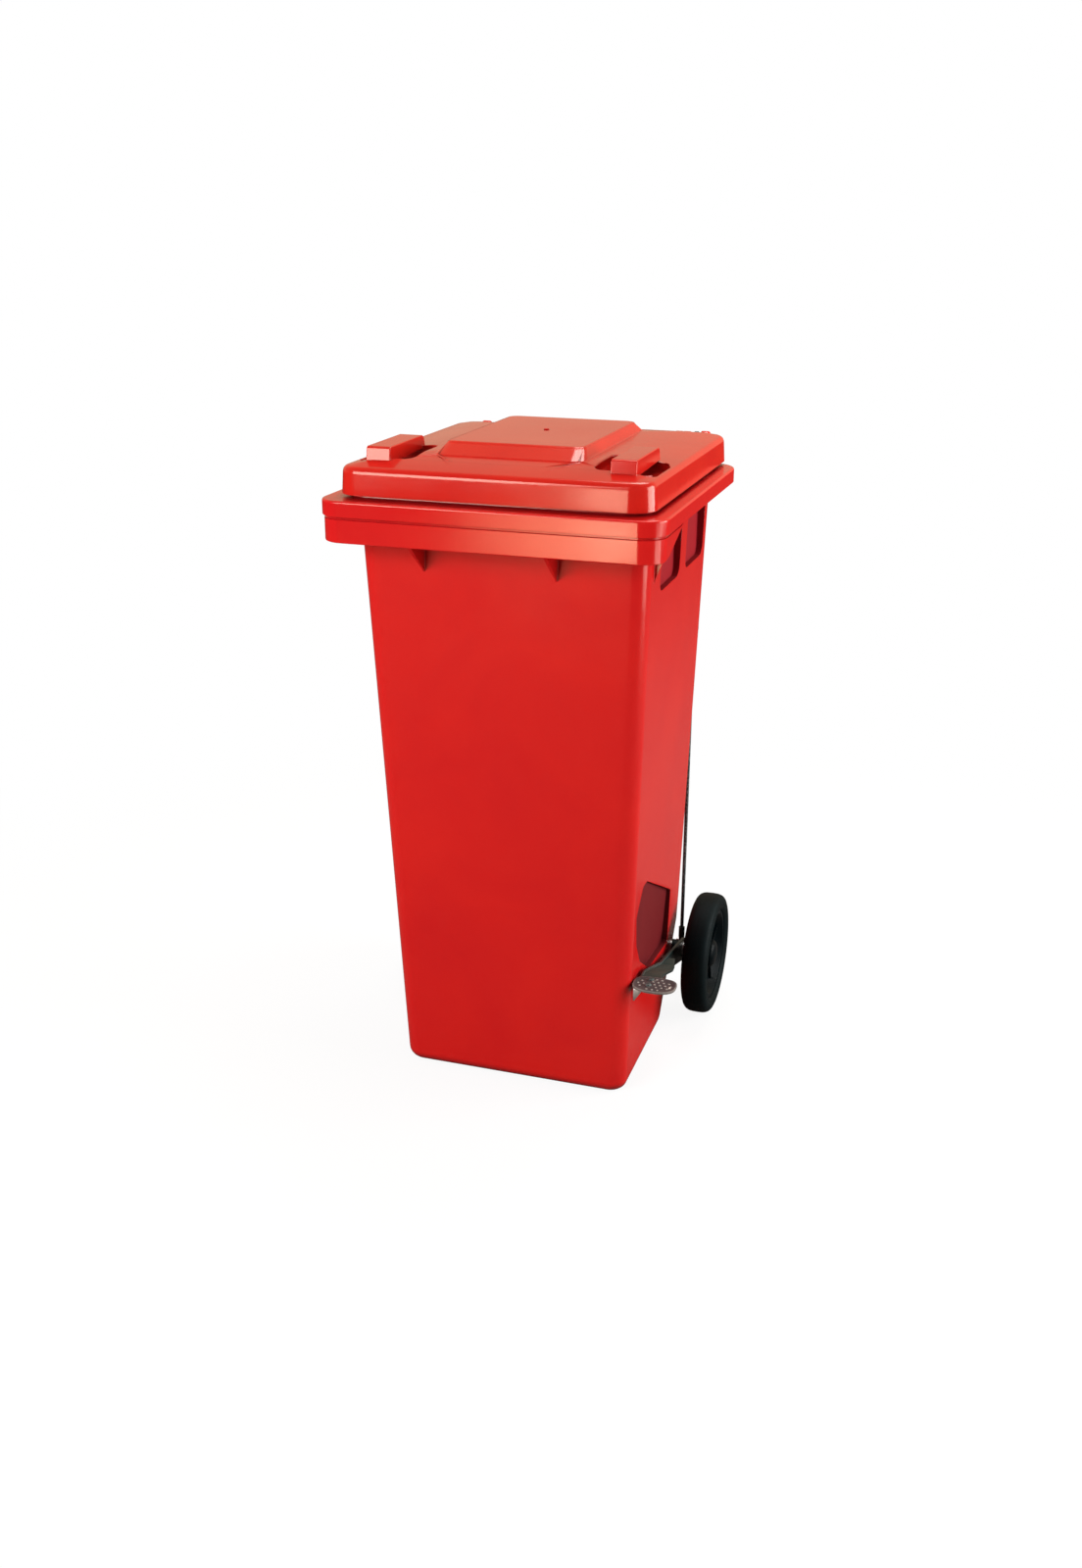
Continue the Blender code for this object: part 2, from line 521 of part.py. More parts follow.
# ---------------------------------------------------------------- pedal
def build_pedal():
    pivot = (ARM_X0, AXLE_Y, AXLE_Z)
    slot_dir = math.degrees(math.atan2(ROD_Z0 - AXLE_Z, ROD_Y - AXLE_Y))
    sd = Vector((math.cos(math.radians(slot_dir)), math.sin(math.radians(slot_dir))))
    s0 = Vector((AXLE_Y, AXLE_Z)) + sd * (PEDAL_REACH - 0.0003)
    s1 = Vector((AXLE_Y, AXLE_Z)) + sd * (math.hypot(PEDAL_REACH, ROD_STROKE / 2) + 0.0003)
    arm = prism("pedal_arm", hull(circle(AXLE_Y, AXLE_Z, 0.019, 20) + [(0.0, 0.152), (0.0, 0.130)]), ARM_X0, ARM_X1, "X")
    join_to(arm, prism("front", [(0.006, 0.1505), (0.006, 0.1285), (-0.1, 0.166), (-0.156, 0.178), (-0.156, 0.1878), (-0.1, 0.1878), (0.0, 0.1520)],
                       ARM_X0 + 0.00005, ARM_X1 - 0.00005, "X"))
    join_to(arm, prism("rear", hull(circle(AXLE_Y, AXLE_Z, 0.0180, 20) + circle(s1.x, s1.y, 0.0085, 16)),
                       ARM_X0 + 0.0001, ARM_X1 - 0.0001, "X"))
    # folded web: the flat that carries the tread
    web = []
    for y, x1, z in ((0.045, 0.2060, 0.1395), (0.0, 0.2160, 0.1500), (-0.040, 0.2225, 0.1644), (-0.100, 0.2225, 0.1862),
                     (-0.108, 0.2225, 0.1877), (-0.160, 0.2225, 0.1877)):
        web.append([(ARM_X0 + 0.003, y, z - 0.004), (x1, y, z - 0.004), (x1, y, z), (ARM_X0 + 0.003, y, z)])
    join_to(arm, loft("web", web))
    boolean(arm, turned("bore", [(ARM_X0 - 0.01, 0.0139), (ARM_X1 + 0.01, 0.0139)], (0, AXLE_Y, AXLE_Z), "X", 24))
    boolean(arm, prism("slot", hull(circle(s0.x, s0.y, PIN_R + 0.0009, 16) + circle(s1.x, s1.y, PIN_R + 0.0009, 16)),
                       ARM_X0 - 0.01, ARM_X1 + 0.01, "X"))
    for y in TREAD_RIVETS:
        boolean(arm, turned("hole", [(0.17, 0.0029), (0.20, 0.0029)], (TREAD_RIVET_X, y, 0), "Z", 12))
    finish(arm, "pedal_arm", DARK_STEEL, pivot=pivot)
    finish(tube("pedal_bush", (0, AXLE_Y, AXLE_Z), "X", 0.1860, 0.2060, 0.0135, AXLE_R + 0.0004, 24), "pedal_bush", ZINC, pivot=pivot)

    # rounded tread plate
    cx, cy = 0.2190, -0.1485
    out = []
    for i in range(28):
        a = 2 * math.pi * i / 28
        c, s = math.cos(a), math.sin(a)
        e = 2 / 2.4 if s < 0 else 2 / 3.4
        out.append((cx + 0.0325 * math.copysign(abs(c) ** e, c), cy + 0.0235 * math.copysign(abs(s) ** e, s)))
    tread = prism("pedal_tread", out, 0.1881, TREAD_Z, "Z")
    for y in TREAD_RIVETS:
        boolean(tread, turned("hole", [(0.17, 0.0029), (0.20, 0.0029)], (TREAD_RIVET_X, y, 0), "Z", 12))
    finish(tread, "pedal_tread", TREAD, pivot=pivot)
    for y, tag in zip(TREAD_RIVETS, ("front", "rear")):
        zb = 0.1877 - 0.004
        r = turned("rivet", [(zb - 0.0023, 0.0), (zb - 0.0023, 0.0040), (zb - 0.0003, 0.0050), (zb - 0.0003, 0.0025), (TREAD_Z + 0.0003, 0.0025),
                             (TREAD_Z + 0.0003, 0.0055), (TREAD_Z + 0.0020, 0.0040), (TREAD_Z + 0.0026, 0.0)], (TREAD_RIVET_X, y, 0), "Z", 12)
        finish(r, "tread_rivet_" + tag, ZINC, pivot=pivot)
    g = prism("tread_gusset", [(0.1905, 0.1877), (0.2050, 0.1877), (0.1925, 0.1680), (0.1905, 0.1680)], -0.1636, -0.1604, "Y")
    finish(g, "tread_gusset", ZINC, pivot=pivot)


TREAD_RIVETS = (-0.152, -0.134)
TREAD_RIVET_X = 0.210


# ---------------------------------------------------------------- push rod
def hex_nut(y, z, x0, x1):
    nut = prism("nut", circle(y, z, 0.0060, 6), x0, x1, "X")
    return boolean(nut, turned("nut_bore", [(x0 - 0.002, PIN_R + 0.0004), (x1 + 0.002, PIN_R + 0.0004)], (0, y, z), "X", 16))


def build_rod():
    z0, z1 = ROD_Z0, ROD_Z1
    pivot = (ROD_X, ROD_Y, z0)
    rod = turned("push_rod", [(z0 + 0.0115, 0.0), (z0 + 0.0115, ROD_R), (z1 - 0.0115, ROD_R), (z1 - 0.0115, 0.0)], (ROD_X, ROD_Y, 0), "Z", 12)
    finish(rod, "push_rod", DARK_STEEL, pivot=pivot)
    for z, up, tag in ((z0, 1, "lower"), (z1, -1, "upper")):
        eye = prism("eye", hull(circle(ROD_Y, z, 0.0068, 16) + [(ROD_Y - 0.0045, z + 0.0125 * up), (ROD_Y + 0.0045, z + 0.0125 * up)]),
                    ROD_X - 0.0035, ROD_X + 0.0035, "X")
        lo, hi = sorted((z + 0.0075 * up, z + 0.026 * up))
        join_to(eye, turned("neck", [(lo, 0.0052), (hi, 0.0052)], (ROD_X, ROD_Y, 0), "Z", 14))
        boolean(eye, turned("pin_hole", [(0.17, PIN_R + 0.00035), (0.19, PIN_R + 0.00035)], (0, ROD_Y, z), "X", 16))
        lo, hi = sorted((z + 0.0108 * up, z + 0.040 * up))
        boolean(eye, turned("socket", [(lo, ROD_R + 0.00035), (hi, ROD_R + 0.00035)], (ROD_X, ROD_Y, 0), "Z", 12))
        finish(eye, "rod_eye_" + tag, DARK_STEEL, pivot=pivot)
    # lower pin: head inboard, nut outboard of the pedal arm
    pin = turned("pin", [(0.1693, 0.0), (0.1693, 0.0052), (0.1736, 0.0052), (0.1736, PIN_R), (0.2005, PIN_R), (0.2005, 0.0)], (0, ROD_Y, z0), "X", 14)
    finish(pin, "lower_pin", ZINC, pivot=pivot)
    finish(tube("washer", (0, ROD_Y, z0), "X", 0.1813, 0.1895, 0.0055, PIN_R + 0.0004, 14), "lower_pin_spacer", ZINC, pivot=pivot)
    finish(hex_nut(ROD_Y, z0, 0.1955, 0.1995), "lower_pin_nut", ZINC, pivot=pivot, smooth=False)
    # upper pin: head outboard, nut inboard of the lifter
    pin = turned("pin", [(0.1572, 0.0), (0.1572, PIN_R), (0.1814, PIN_R), (0.1814, 0.0052), (0.1853, 0.0052), (0.1853, 0.0)], (0, ROD_Y, z1), "X", 14)
    finish(pin, "upper_pin", ZINC, pivot=pivot)
    finish(tube("washer", (0, ROD_Y, z1), "X", 0.1688, 0.1736, 0.0055, PIN_R + 0.0004, 14), "upper_pin_spacer", ZINC, pivot=pivot)
    finish(hex_nut(ROD_Y, z1, 0.1578, 0.1614), "upper_pin_nut", ZINC, pivot=pivot, smooth=False)
    # guides on the rear wall
    for z, tag in zip(GUIDE_Z, ("lower", "upper")):
        g = prism("guide", hull([(0.1400, REAR_Y + 0.0020), (0.1640, REAR_Y + 0.0020)] + circle(ROD_X, ROD_Y, 0.0080, 16)), z - 0.004, z + 0.004, "Z")
        join_to(g, box("base", (0.1360, REAR_Y + GAP, z - 0.019), (0.1660, REAR_Y + 0.0033, z + 0.019)))
        boolean(g, turned("guide_hole", [(z - 0.01, ROD_R + 0.0008), (z + 0.01, ROD_R + 0.0008)], (ROD_X, ROD_Y, 0), "Z", 16))
        for dz in (-0.012, 0.012):
            boolean(g, turned("screw_hole", [(REAR_Y - 0.01, 0.0025), (REAR_Y + 0.01, 0.0025)], (GUIDE_SCREW_X, 0, z + dz), "Y", 12))
        finish(g, "rod_guide_" + tag, DARK_STEEL)
        for dz, end in ((-0.012, "a"), (0.012, "b")):
            s = turned("screw", [(REAR_Y - 0.0025, 0.0), (REAR_Y - 0.0025, 0.0020), (REAR_Y + 0.0036, 0.0020), (REAR_Y + 0.0036, 0.0044),
                                 (REAR_Y + 0.0052, 0.0040), (REAR_Y + 0.0058, 0.0022), (REAR_Y + 0.0060, 0.0)], (GUIDE_SCREW_X, 0, z + dz), "Y", 12)
            finish(s, "guide_screw_%s_%s" % (tag, end), ZINC)


# ---------------------------------------------------------------- lifter
def build_lifter():
    pivot = (0.165, HINGE_Y, HINGE_Z)
    d = Vector((ROD_Y - HINGE_Y, ROD_Z1 - HINGE_Z)).normalized()
    h = Vector((HINGE_Y, HINGE_Z))
    s0, s1 = h + d * (CRANK - 0.0006), h + d * (math.hypot(CRANK, ROD_STROKE / 2) + 0.0006)
    arm = prism("lifter_arm", hull(circle(h.x, h.y, 0.0110, 20) + circle(s1.x, s1.y, 0.0070, 16)), 0.162, 0.168, "X")
    join_to(arm, prism("beam", hull([(HINGE_Y - 0.004, HINGE_Z + 0.0030), (HINGE_Y - 0.006, HINGE_Z - 0.0060), (0.200, 0.9185), (0.085, 0.9265),
                                     (0.083, 0.9290), (0.085, 0.9335), (0.200, 0.9338)]), 0.16205, 0.16795, "X"))
    join_to(arm, turned("boss", [(0.1584, 0.0095), (0.1716, 0.0095)], (0, HINGE_Y, HINGE_Z), "X", 20))
    boolean(arm, turned("bore", [(0.15, HINGE_PIN_R + 0.0004), (0.18, HINGE_PIN_R + 0.0004)], (0, HINGE_Y, HINGE_Z), "X", 16))
    boolean(arm, prism("slot", hull(circle(s0.x, s0.y, PIN_R + 0.0009, 16) + circle(s1.x, s1.y, PIN_R + 0.0009, 16)), 0.15, 0.18, "X"))
    finish(arm, "lifter_arm", DARK_STEEL, pivot=pivot)
    # rubber shoe that carries the lid
    pts = [(0.086, 0.9342), (0.118, 0.9342), (0.118, 0.9444), (0.114, 0.9458), (0.090, 0.9458), (0.086, 0.9444)]
    finish(prism("lifter_shoe", pts, 0.1560, 0.1740, "X"), "lifter_shoe", BLACK_RUBBER, pivot=pivot)


def main():
    for ob in list(bpy.data.objects):
        bpy.data.objects.remove(ob, do_unlink=True)
    build_body()
    build_lid()
    build_lid_parts()
    build_hinge()
    build_axle()
    build_wheels()
    build_pedal()
    build_rod()
    build_lifter()


main()
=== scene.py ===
"""Looks of a two-wheeled 120 litre container with a side foot pedal."""
import math

import bmesh
import bpy
from mathutils import Matrix, Vector


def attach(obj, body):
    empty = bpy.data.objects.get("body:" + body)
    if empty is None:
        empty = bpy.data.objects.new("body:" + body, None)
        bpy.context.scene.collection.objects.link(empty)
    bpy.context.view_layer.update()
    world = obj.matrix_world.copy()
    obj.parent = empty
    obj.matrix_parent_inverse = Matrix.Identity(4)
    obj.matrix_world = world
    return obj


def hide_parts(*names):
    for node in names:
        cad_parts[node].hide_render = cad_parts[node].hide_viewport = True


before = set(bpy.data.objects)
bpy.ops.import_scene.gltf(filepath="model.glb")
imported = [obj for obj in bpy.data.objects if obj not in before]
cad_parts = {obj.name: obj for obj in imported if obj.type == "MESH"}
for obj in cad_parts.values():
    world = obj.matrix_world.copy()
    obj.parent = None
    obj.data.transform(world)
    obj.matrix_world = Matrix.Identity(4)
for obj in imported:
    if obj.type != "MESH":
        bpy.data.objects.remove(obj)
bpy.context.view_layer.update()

SCENE = bpy.context.scene

# ---------------------------------------------------------------- dimensions, as in the model
WALL = 0.0042
BASE_HX, TOP_HX = 0.1785, 0.2065
BASE_YF, TOP_YF = -0.161, -0.207
REAR_Y = 0.174
HEEL_Y0, HEEL_Y1, HEEL_Z = 0.085, 0.172, 0.160
Z_LOW, Z_NECK = 0.030, 0.850
CORNER_R = 0.024
FLOOR_T = 0.008
RIM_HX, RIM_YF, RIM_YR, RIM_Z = 0.240, -0.271, 0.215, 0.902
RIM_T, RIM_SKIRT_Z = 0.005, 0.880
RIM_RF, RIM_RR = 0.035, 0.045
COMB_Z, COMB_SET, COMB_END_Y = 0.845, 0.0025, -0.125
COLLAR_HX, COLLAR_YF, COLLAR_YR, COLLAR_Z = 0.2095, -0.238, 0.2055, 0.912
LID_HX, LID_YF, LID_YR = 0.219, -0.249, 0.232
LID_Z0, LID_SHOULDER_Z, LID_CROWN = 0.906, 0.939, 0.0125
LID_R, LID_T = 0.033, 0.0036
PAD_HX0, PAD_YF0, PAD_YR0 = 0.107, -0.176, 0.156
PAD_HX1, PAD_YF1, PAD_YR1, PAD_Z = 0.0975, -0.143, 0.130, 0.970
GRIP_X0, GRIP_X1, GRIP_Y0, GRIP_Y1, GRIP_Z = 0.153, 0.188, -0.211, -0.084, 0.967
POCKET_X0, POCKET_X1, POCKET_Y0, POCKET_Y1, POCKET_Z = 0.126, 0.208, -0.199, -0.093, 0.935
HINGE_Y, HINGE_Z, HINGE_PIN_R = 0.246, 0.932, 0.004
CHEEK_X0, CHEEK_X1 = 0.132, 0.144
BAR_Y, BAR_Z, BAR_R = 0.256, 0.868, 0.011
AXLE_Y, AXLE_Z, AXLE_R = 0.160, 0.100, 0.010
WHEEL_X = 0.232
GUIDE_Z = (0.640, 0.826)
GUIDE_SCREW_X = 0.148
TREAD_Z = 0.192
N = 10                      # segments in a quarter turn


# ---------------------------------------------------------------- mesh tools
def new_object(name, verts, faces):
    me = bpy.data.meshes.new(name)
    me.from_pydata([tuple(v) for v in verts], [], faces)
    me.update()
    bm = bmesh.new()
    bm.from_mesh(me)
    bmesh.ops.recalc_face_normals(bm, faces=bm.faces)
    bm.to_mesh(me)
    bm.free()
    ob = bpy.data.objects.new(name, me)
    SCENE.collection.objects.link(ob)
    return ob


def loft(name, rings):
    n = len(rings[0])
    verts = [p for r in rings for p in r]
    faces = []
    for k in range(len(rings) - 1):
        for i in range(n):
            j = (i + 1) % n
            faces.append((k * n + i, k * n + j, (k + 1) * n + j, (k + 1) * n + i))
    faces.append(tuple(reversed(range(n))))
    faces.append(tuple(range((len(rings) - 1) * n, len(rings) * n)))
    return new_object(name, verts, faces)


def prism(name, outline, lo, hi, axis):
    def place(a, b, t):
        return {"X": (t, a, b), "Y": (a, t, b), "Z": (a, b, t)}[axis]
    return loft(name, [[place(a, b, lo) for a, b in outline], [place(a, b, hi) for a, b in outline]])


def block(name, lo, hi):
    return prism(name, [(lo[0], lo[1]), (hi[0], lo[1]), (hi[0], hi[1]), (lo[0], hi[1])], lo[2], hi[2], "Z")


def turned(name, profile, centre, axis, n, ring=False):
    verts, faces, idx = [], [], []
    for along, rad in profile:
        row = []
        count = 1 if rad == 0.0 else n
        for i in range(count):
            a = 2 * math.pi * i / n
            c, s = rad * math.cos(a), rad * math.sin(a)
            p = {"X": (along, c, s), "Y": (s, along, c), "Z": (c, s, along)}[axis]
            row.append(len(verts))
            verts.append(Vector(centre) + Vector(p))
        idx.append(row)
    pairs = list(zip(idx, idx[1:]))
    if ring:
        pairs.append((idx[-1], idx[0]))
    for a, b in pairs:
        for i in range(n):
            j = (i + 1) % n
            q = [a[i % len(a)], a[j % len(a)], b[j % len(b)], b[i % len(b)]]
            f = []
            for v in q:
                if v not in f:
                    f.append(v)
            if len(f) > 2:
                faces.append(tuple(f))
    if not ring:
        for row, rev in ((idx[0], True), (idx[-1], False)):
            if len(row) > 1:
                faces.append(tuple(reversed(row)) if rev else tuple(row))
    return new_object(name, verts, faces)


def boolean(target, cutter, operation="DIFFERENCE"):
    mod = target.modifiers.new("cut", "BOOLEAN")
    mod.operation = operation
    mod.solver = "EXACT"
    mod.object = cutter
    dg = bpy.context.evaluated_depsgraph_get()
    me = bpy.data.meshes.new_from_object(target.evaluated_get(dg))
    target.modifiers.clear()
    old = target.data
    target.data = me
    bpy.data.meshes.remove(old)
    cm = cutter.data
    bpy.data.objects.remove(cutter, do_unlink=True)
    bpy.data.meshes.remove(cm)
    return target


def join_to(target, extra):
    return boolean(target, extra, "UNION")


def arc(cy, cz, r, a0, a1, n):
    return [(cy + r * math.cos(math.radians(a0 + (a1 - a0) * i / n)),
             cz + r * math.sin(math.radians(a0 + (a1 - a0) * i / n))) for i in range(n + 1)]


def circle(cy, cz, r, n):
    return arc(cy, cz, r, 0, 360, n)[:-1]


def hull(points):
    pts = sorted(set((round(a, 7), round(b, 7)) for a, b in points))
    def half(seq):
        out = []
        for p in seq:
            while len(out) > 1 and ((out[-1][0] - out[-2][0]) * (p[1] - out[-2][1])
                                    - (out[-1][1] - out[-2][1]) * (p[0] - out[-2][0])) <= 1e-12:
                out.pop()
            out.append(p)
        return out[:-1]
    return half(pts) + half(pts[::-1])


def rounded(hx, yf, yr, rf, rr, z, n=N):
    out = []
    for cx, cy, r, a0 in ((hx - rf, yf + rf, rf, -90), (hx - rr, yr - rr, rr, 0),
                          (-hx + rr, yr - rr, rr, 90), (-hx + rf, yf + rf, rf, 180)):
        out += [(x, y, z) for x, y in arc(cx, cy, r, a0, a0 + 90, n)]
    return out


def round_outline(pts, r, n=8):
    out = []
    m = len(pts)
    for i in range(m):
        p, a, b = Vector(pts[i]), Vector(pts[i - 1]), Vector(pts[(i + 1) % m])
        u, v = (a - p).normalized(), (b - p).normalized()
        half_angle = u.angle(v) / 2
        d = r / math.tan(half_angle)
        c = p + (u + v).normalized() * (r / math.sin(half_angle))
        s, e = p + u * d - c, p + v * d - c
        sweep = s.angle_signed(e)
        for k in range(n + 1):
            q = s.copy()
            q.rotate(Matrix.Rotation(-sweep * k / n, 2))
            out.append(tuple(c + q))
    return out


def soften(ob, width, degrees=34, where=None, segments=2, shortest=0.0):
    """Round the sharp edges that where() picks by a small radius."""
    bm = bmesh.new()
    bm.from_mesh(ob.data)
    bmesh.ops.remove_doubles(bm, verts=bm.verts, dist=2e-6)
    bmesh.ops.dissolve_limit(bm, angle_limit=0.0012, verts=bm.verts, edges=bm.edges)
    bmesh.ops.dissolve_degenerate(bm, dist=2e-6, edges=bm.edges)
    lim = math.radians(degrees)
    chosen = []
    for e in bm.edges:
        if len(e.link_faces) != 2 or e.calc_length() < shortest:
            continue
        if e.calc_face_angle(0.0) < lim:
            continue
        mid = (e.verts[0].co + e.verts[1].co) / 2
        if where is None or where(mid):
            chosen.append(e)
    if chosen:
        bmesh.ops.bevel(bm, geom=chosen, offset=width, offset_type="OFFSET", segments=segments, profile=0.5,
                        affect="EDGES", clamp_overlap=False, loop_slide=True)
    bmesh.ops.recalc_face_normals(bm, faces=bm.faces)
    bm.to_mesh(ob.data)
    bm.free()
    return ob


def merge(ob, others):
    """Take other closed shells into this piece's mesh."""
    bm = bmesh.new()
    bm.from_mesh(ob.data)
    for o in others:
        bm.from_mesh(o.data)
    bm.to_mesh(ob.data)
    bm.free()
    for o in others:
        bpy.data.objects.remove(o, do_unlink=True)


def shade(ob, degrees=32, weighted=True):
    ob.data.shade_smooth()
    ob.data.set_sharp_from_angle(angle=math.radians(degrees))
    if weighted:
        m = ob.modifiers.new("even_normals", "WEIGHTED_NORMAL")
        m.keep_sharp = True
        m.weight = 60
        dg = bpy.context.evaluated_depsgraph_get()
        me = bpy.data.meshes.new_from_object(ob.evaluated_get(dg))
        ob.modifiers.clear()
        ob.data = me
    return ob


def dress(ob, name, mat, body, slot, *nodes):
    """Name the piece, give it its material and put it in the place of its CAD nodes."""
    ob.name = name
    ob.data.name = name
    ob.data.materials.clear()
    ob.data.materials.append(mat)
    for p in ob.data.polygons:
        p.material_index = 0
    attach(ob, body)
    if nodes:
        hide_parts(*nodes)
    return ob


# ---------------------------------------------------------------- materials
def base_material(name):
    m = bpy.data.materials.new(name)
    m.use_nodes = True
    nt = m.node_tree
    nt.nodes.clear()
    out = nt.nodes.new("ShaderNodeOutputMaterial")
    sh = nt.nodes.new("ShaderNodeBsdfPrincipled")
    nt.links.new(sh.outputs[0], out.inputs[0])
    tc = nt.nodes.new("ShaderNodeTexCoord")
    return m, nt, sh, tc.outputs["Object"]


def noise(nt, coord, scale, detail=3.0, rough=0.5, stretch=None, distortion=0.0):
    src = coord
    if stretch:
        mp = nt.nodes.new("ShaderNodeMapping")
        mp.inputs["Scale"].default_value = stretch
        nt.links.new(coord, mp.inputs[0])
        src = mp.outputs[0]
    n = nt.nodes.new("ShaderNodeTexNoise")
    n.inputs["Scale"].default_value = scale
    n.inputs["Detail"].default_value = detail
    n.inputs["Roughness"].default_value = rough
    n.inputs["Distortion"].default_value = distortion
    nt.links.new(src, n.inputs["Vector"])
    return n.outputs["Fac"]


def ramp(nt, fac, stops):
    r = nt.nodes.new("ShaderNodeValToRGB")
    els = r.color_ramp.elements
    while len(els) < len(stops):
        els.new(0.5)
    for e, (pos, col) in zip(els, stops):
        e.position = pos
        e.color = col if len(col) == 4 else (*col, 1.0)
    nt.links.new(fac, r.inputs[0])
    return r.outputs[0]


def grey(v):
    return (v, v, v, 1.0)


def mix(nt, fac, a, b, blend="MIX"):
    m = nt.nodes.new("ShaderNodeMix")
    m.data_type = "RGBA"
    m.blend_type = blend
    for sock, val in ((m.inputs[0], fac), (m.inputs[6], a), (m.inputs[7], b)):
        if hasattr(val, "links") or isinstance(val, bpy.types.NodeSocket):
            nt.links.new(val, sock)
        else:
            sock.default_value = val
    return m.outputs[2]


def remap(nt, val, lo, hi, to_lo, to_hi):
    m = nt.nodes.new("ShaderNodeMapRange")
    nt.links.new(val, m.inputs[0])
    for i, v in zip((1, 2, 3, 4), (lo, hi, to_lo, to_hi)):
        m.inputs[i].default_value = v
    return m.outputs[0]


def bump(nt, sh, height, distance, strength=1.0, previous=None):
    b = nt.nodes.new("ShaderNodeBump")
    b.inputs["Distance"].default_value = distance
    b.inputs["Strength"].default_value = strength
    nt.links.new(height, b.inputs["Height"])
    if previous is not None:
        nt.links.new(previous, b.inputs["Normal"])
    nt.links.new(b.outputs[0], sh.inputs["Normal"])
    return b.outputs[0]


def hdpe(name, deep, warm, rough=(0.30, 0.42), grain=0.00006):
    """Injection-moulded polyethylene: faint flow clouds, fine moulded grain, hairline scuffs, paler edges, and painted
    shade that darkens the colour in hollows and creases.
    """
    m, nt, sh, co = base_material(name)
    cloud = noise(nt, co, 5.0, 4.0, 0.55, distortion=0.6)
    colour = ramp(nt, cloud, [(0.30, deep), (0.70, warm)])
    fleck = noise(nt, co, 420.0, 2.0, 0.6)
    colour = mix(nt, remap(nt, fleck, 0.35, 0.75, 0.0, 0.10), colour, (deep[0] * 0.72, deep[1] * 0.7, deep[2] * 0.7, 1.0))
    geo = nt.nodes.new("ShaderNodeNewGeometry")
    edge = remap(nt, geo.outputs["Pointiness"], 0.54, 0.62, 0.0, 0.08)
    colour = mix(nt, edge, colour, (min(1.0, warm[0] * 1.15), warm[1] * 2.6 + 0.02, warm[2] * 2.6 + 0.02, 1.0))
    # painted shade: ambient occlusion darkens the colour in hollows, creases and under overhangs, standing in for the
    # shade that falls there
    hollow = nt.nodes.new("ShaderNodeAmbientOcclusion")
    hollow.samples = 8
    hollow.inputs["Distance"].default_value = 0.030
    hollow_painted_shade = remap(nt, hollow.outputs["AO"], 0.28, 0.72, 0.60, 0.0)
    colour = mix(nt, hollow_painted_shade, colour, (deep[0] * 0.22, deep[1] * 0.55, deep[2] * 0.9, 1.0))
    nt.links.new(colour, sh.inputs["Base Color"])
    scuff = noise(nt, co, 110.0, 3.0, 0.5)
    patch = noise(nt, co, 9.0, 3.0, 0.5)
    both = mix(nt, 0.12, patch, scuff)
    r = nt.nodes.new("ShaderNodeMapRange")
    nt.links.new(both, r.inputs[0])
    for i, v in zip((1, 2, 3, 4), (0.3, 0.7, rough[0], rough[1])):
        r.inputs[i].default_value = v
    nt.links.new(r.outputs[0], sh.inputs["Roughness"])
    wave = noise(nt, co, 14.0, 2.0, 0.4)
    b1 = bump(nt, sh, wave, 0.0006, 0.35)
    fine = noise(nt, co, 950.0, 2.0, 0.5)
    bump(nt, sh, fine, grain, 0.6, b1)
    sh.inputs["IOR"].default_value = 1.49
    sh.inputs["Specular IOR Level"].default_value = 0.45
    sh.inputs["Specular Tint"].default_value = (1.0, 0.86, 0.72, 1.0)
    return m


def rubber(name, colour=0.012, rough=0.62):
    m, nt, sh, co = base_material(name)
    big = noise(nt, co, 22.0, 4.0, 0.6)
    nt.links.new(ramp(nt, big, [(0.3, (colour * 0.2, colour * 1.2, colour * 1.4)), (0.75, (colour * 0.4, colour * 2.4, colour * 2.9))]), sh.inputs["Base Color"])
    fine = noise(nt, co, 700.0, 3.0, 0.6)
    nt.links.new(remap(nt, fine, 0.3, 0.7, rough - 0.10, rough + 0.12), sh.inputs["Roughness"])
    b = bump(nt, sh, big, 0.0006, 0.3)
    bump(nt, sh, fine, 0.00015, 0.7, b)
    sh.inputs["Specular IOR Level"].default_value = 0.09
    return m


def black_plastic(name):
    m, nt, sh, co = base_material(name)
    big = noise(nt, co, 30.0, 3.0, 0.5)
    nt.links.new(ramp(nt, big, [(0.3, (0.0008, 0.0030, 0.0040)), (0.75, (0.0018, 0.0056, 0.0072))]), sh.inputs["Base Color"])
    fine = noise(nt, co, 900.0, 2.0, 0.5)
    nt.links.new(remap(nt, big, 0.3, 0.7, 0.36, 0.50), sh.inputs["Roughness"])
    bump(nt, sh, fine, 0.00010, 0.6)
    sh.inputs["Specular IOR Level"].default_value = 0.07
    return m


def painted_steel(name):
    """Dark greenish-black lacquer over steel, rubbed to metal on its edges."""
    m, nt, sh, co = base_material(name)
    big = noise(nt, co, 40.0, 4.0, 0.6)
    paint = ramp(nt, big, [(0.25, (0.002, 0.010, 0.0095)), (0.8, (0.006, 0.020, 0.018))])
    geo = nt.nodes.new("ShaderNodeNewGeometry")
    grit = noise(nt, co, 260.0, 4.0, 0.7)
    edge = remap(nt, geo.outputs["Pointiness"], 0.55, 0.66, 0.0, 1.0)
    worn = nt.nodes.new("ShaderNodeMath")
    worn.operation = "MULTIPLY"
    nt.links.new(edge, worn.inputs[0])
    nt.links.new(remap(nt, grit, 0.45, 0.62, 0.0, 0.8), worn.inputs[1])
    colour = mix(nt, worn.outputs[0], paint, (0.33, 0.34, 0.34, 1.0))
    nt.links.new(colour, sh.inputs["Base Color"])
    nt.links.new(remap(nt, worn.outputs[0], 0.0, 1.0, 0.0, 0.9), sh.inputs["Metallic"])
    nt.links.new(remap(nt, big, 0.3, 0.7, 0.34, 0.50), sh.inputs["Roughness"])
    bump(nt, sh, grit, 0.00012, 0.6)
    return m


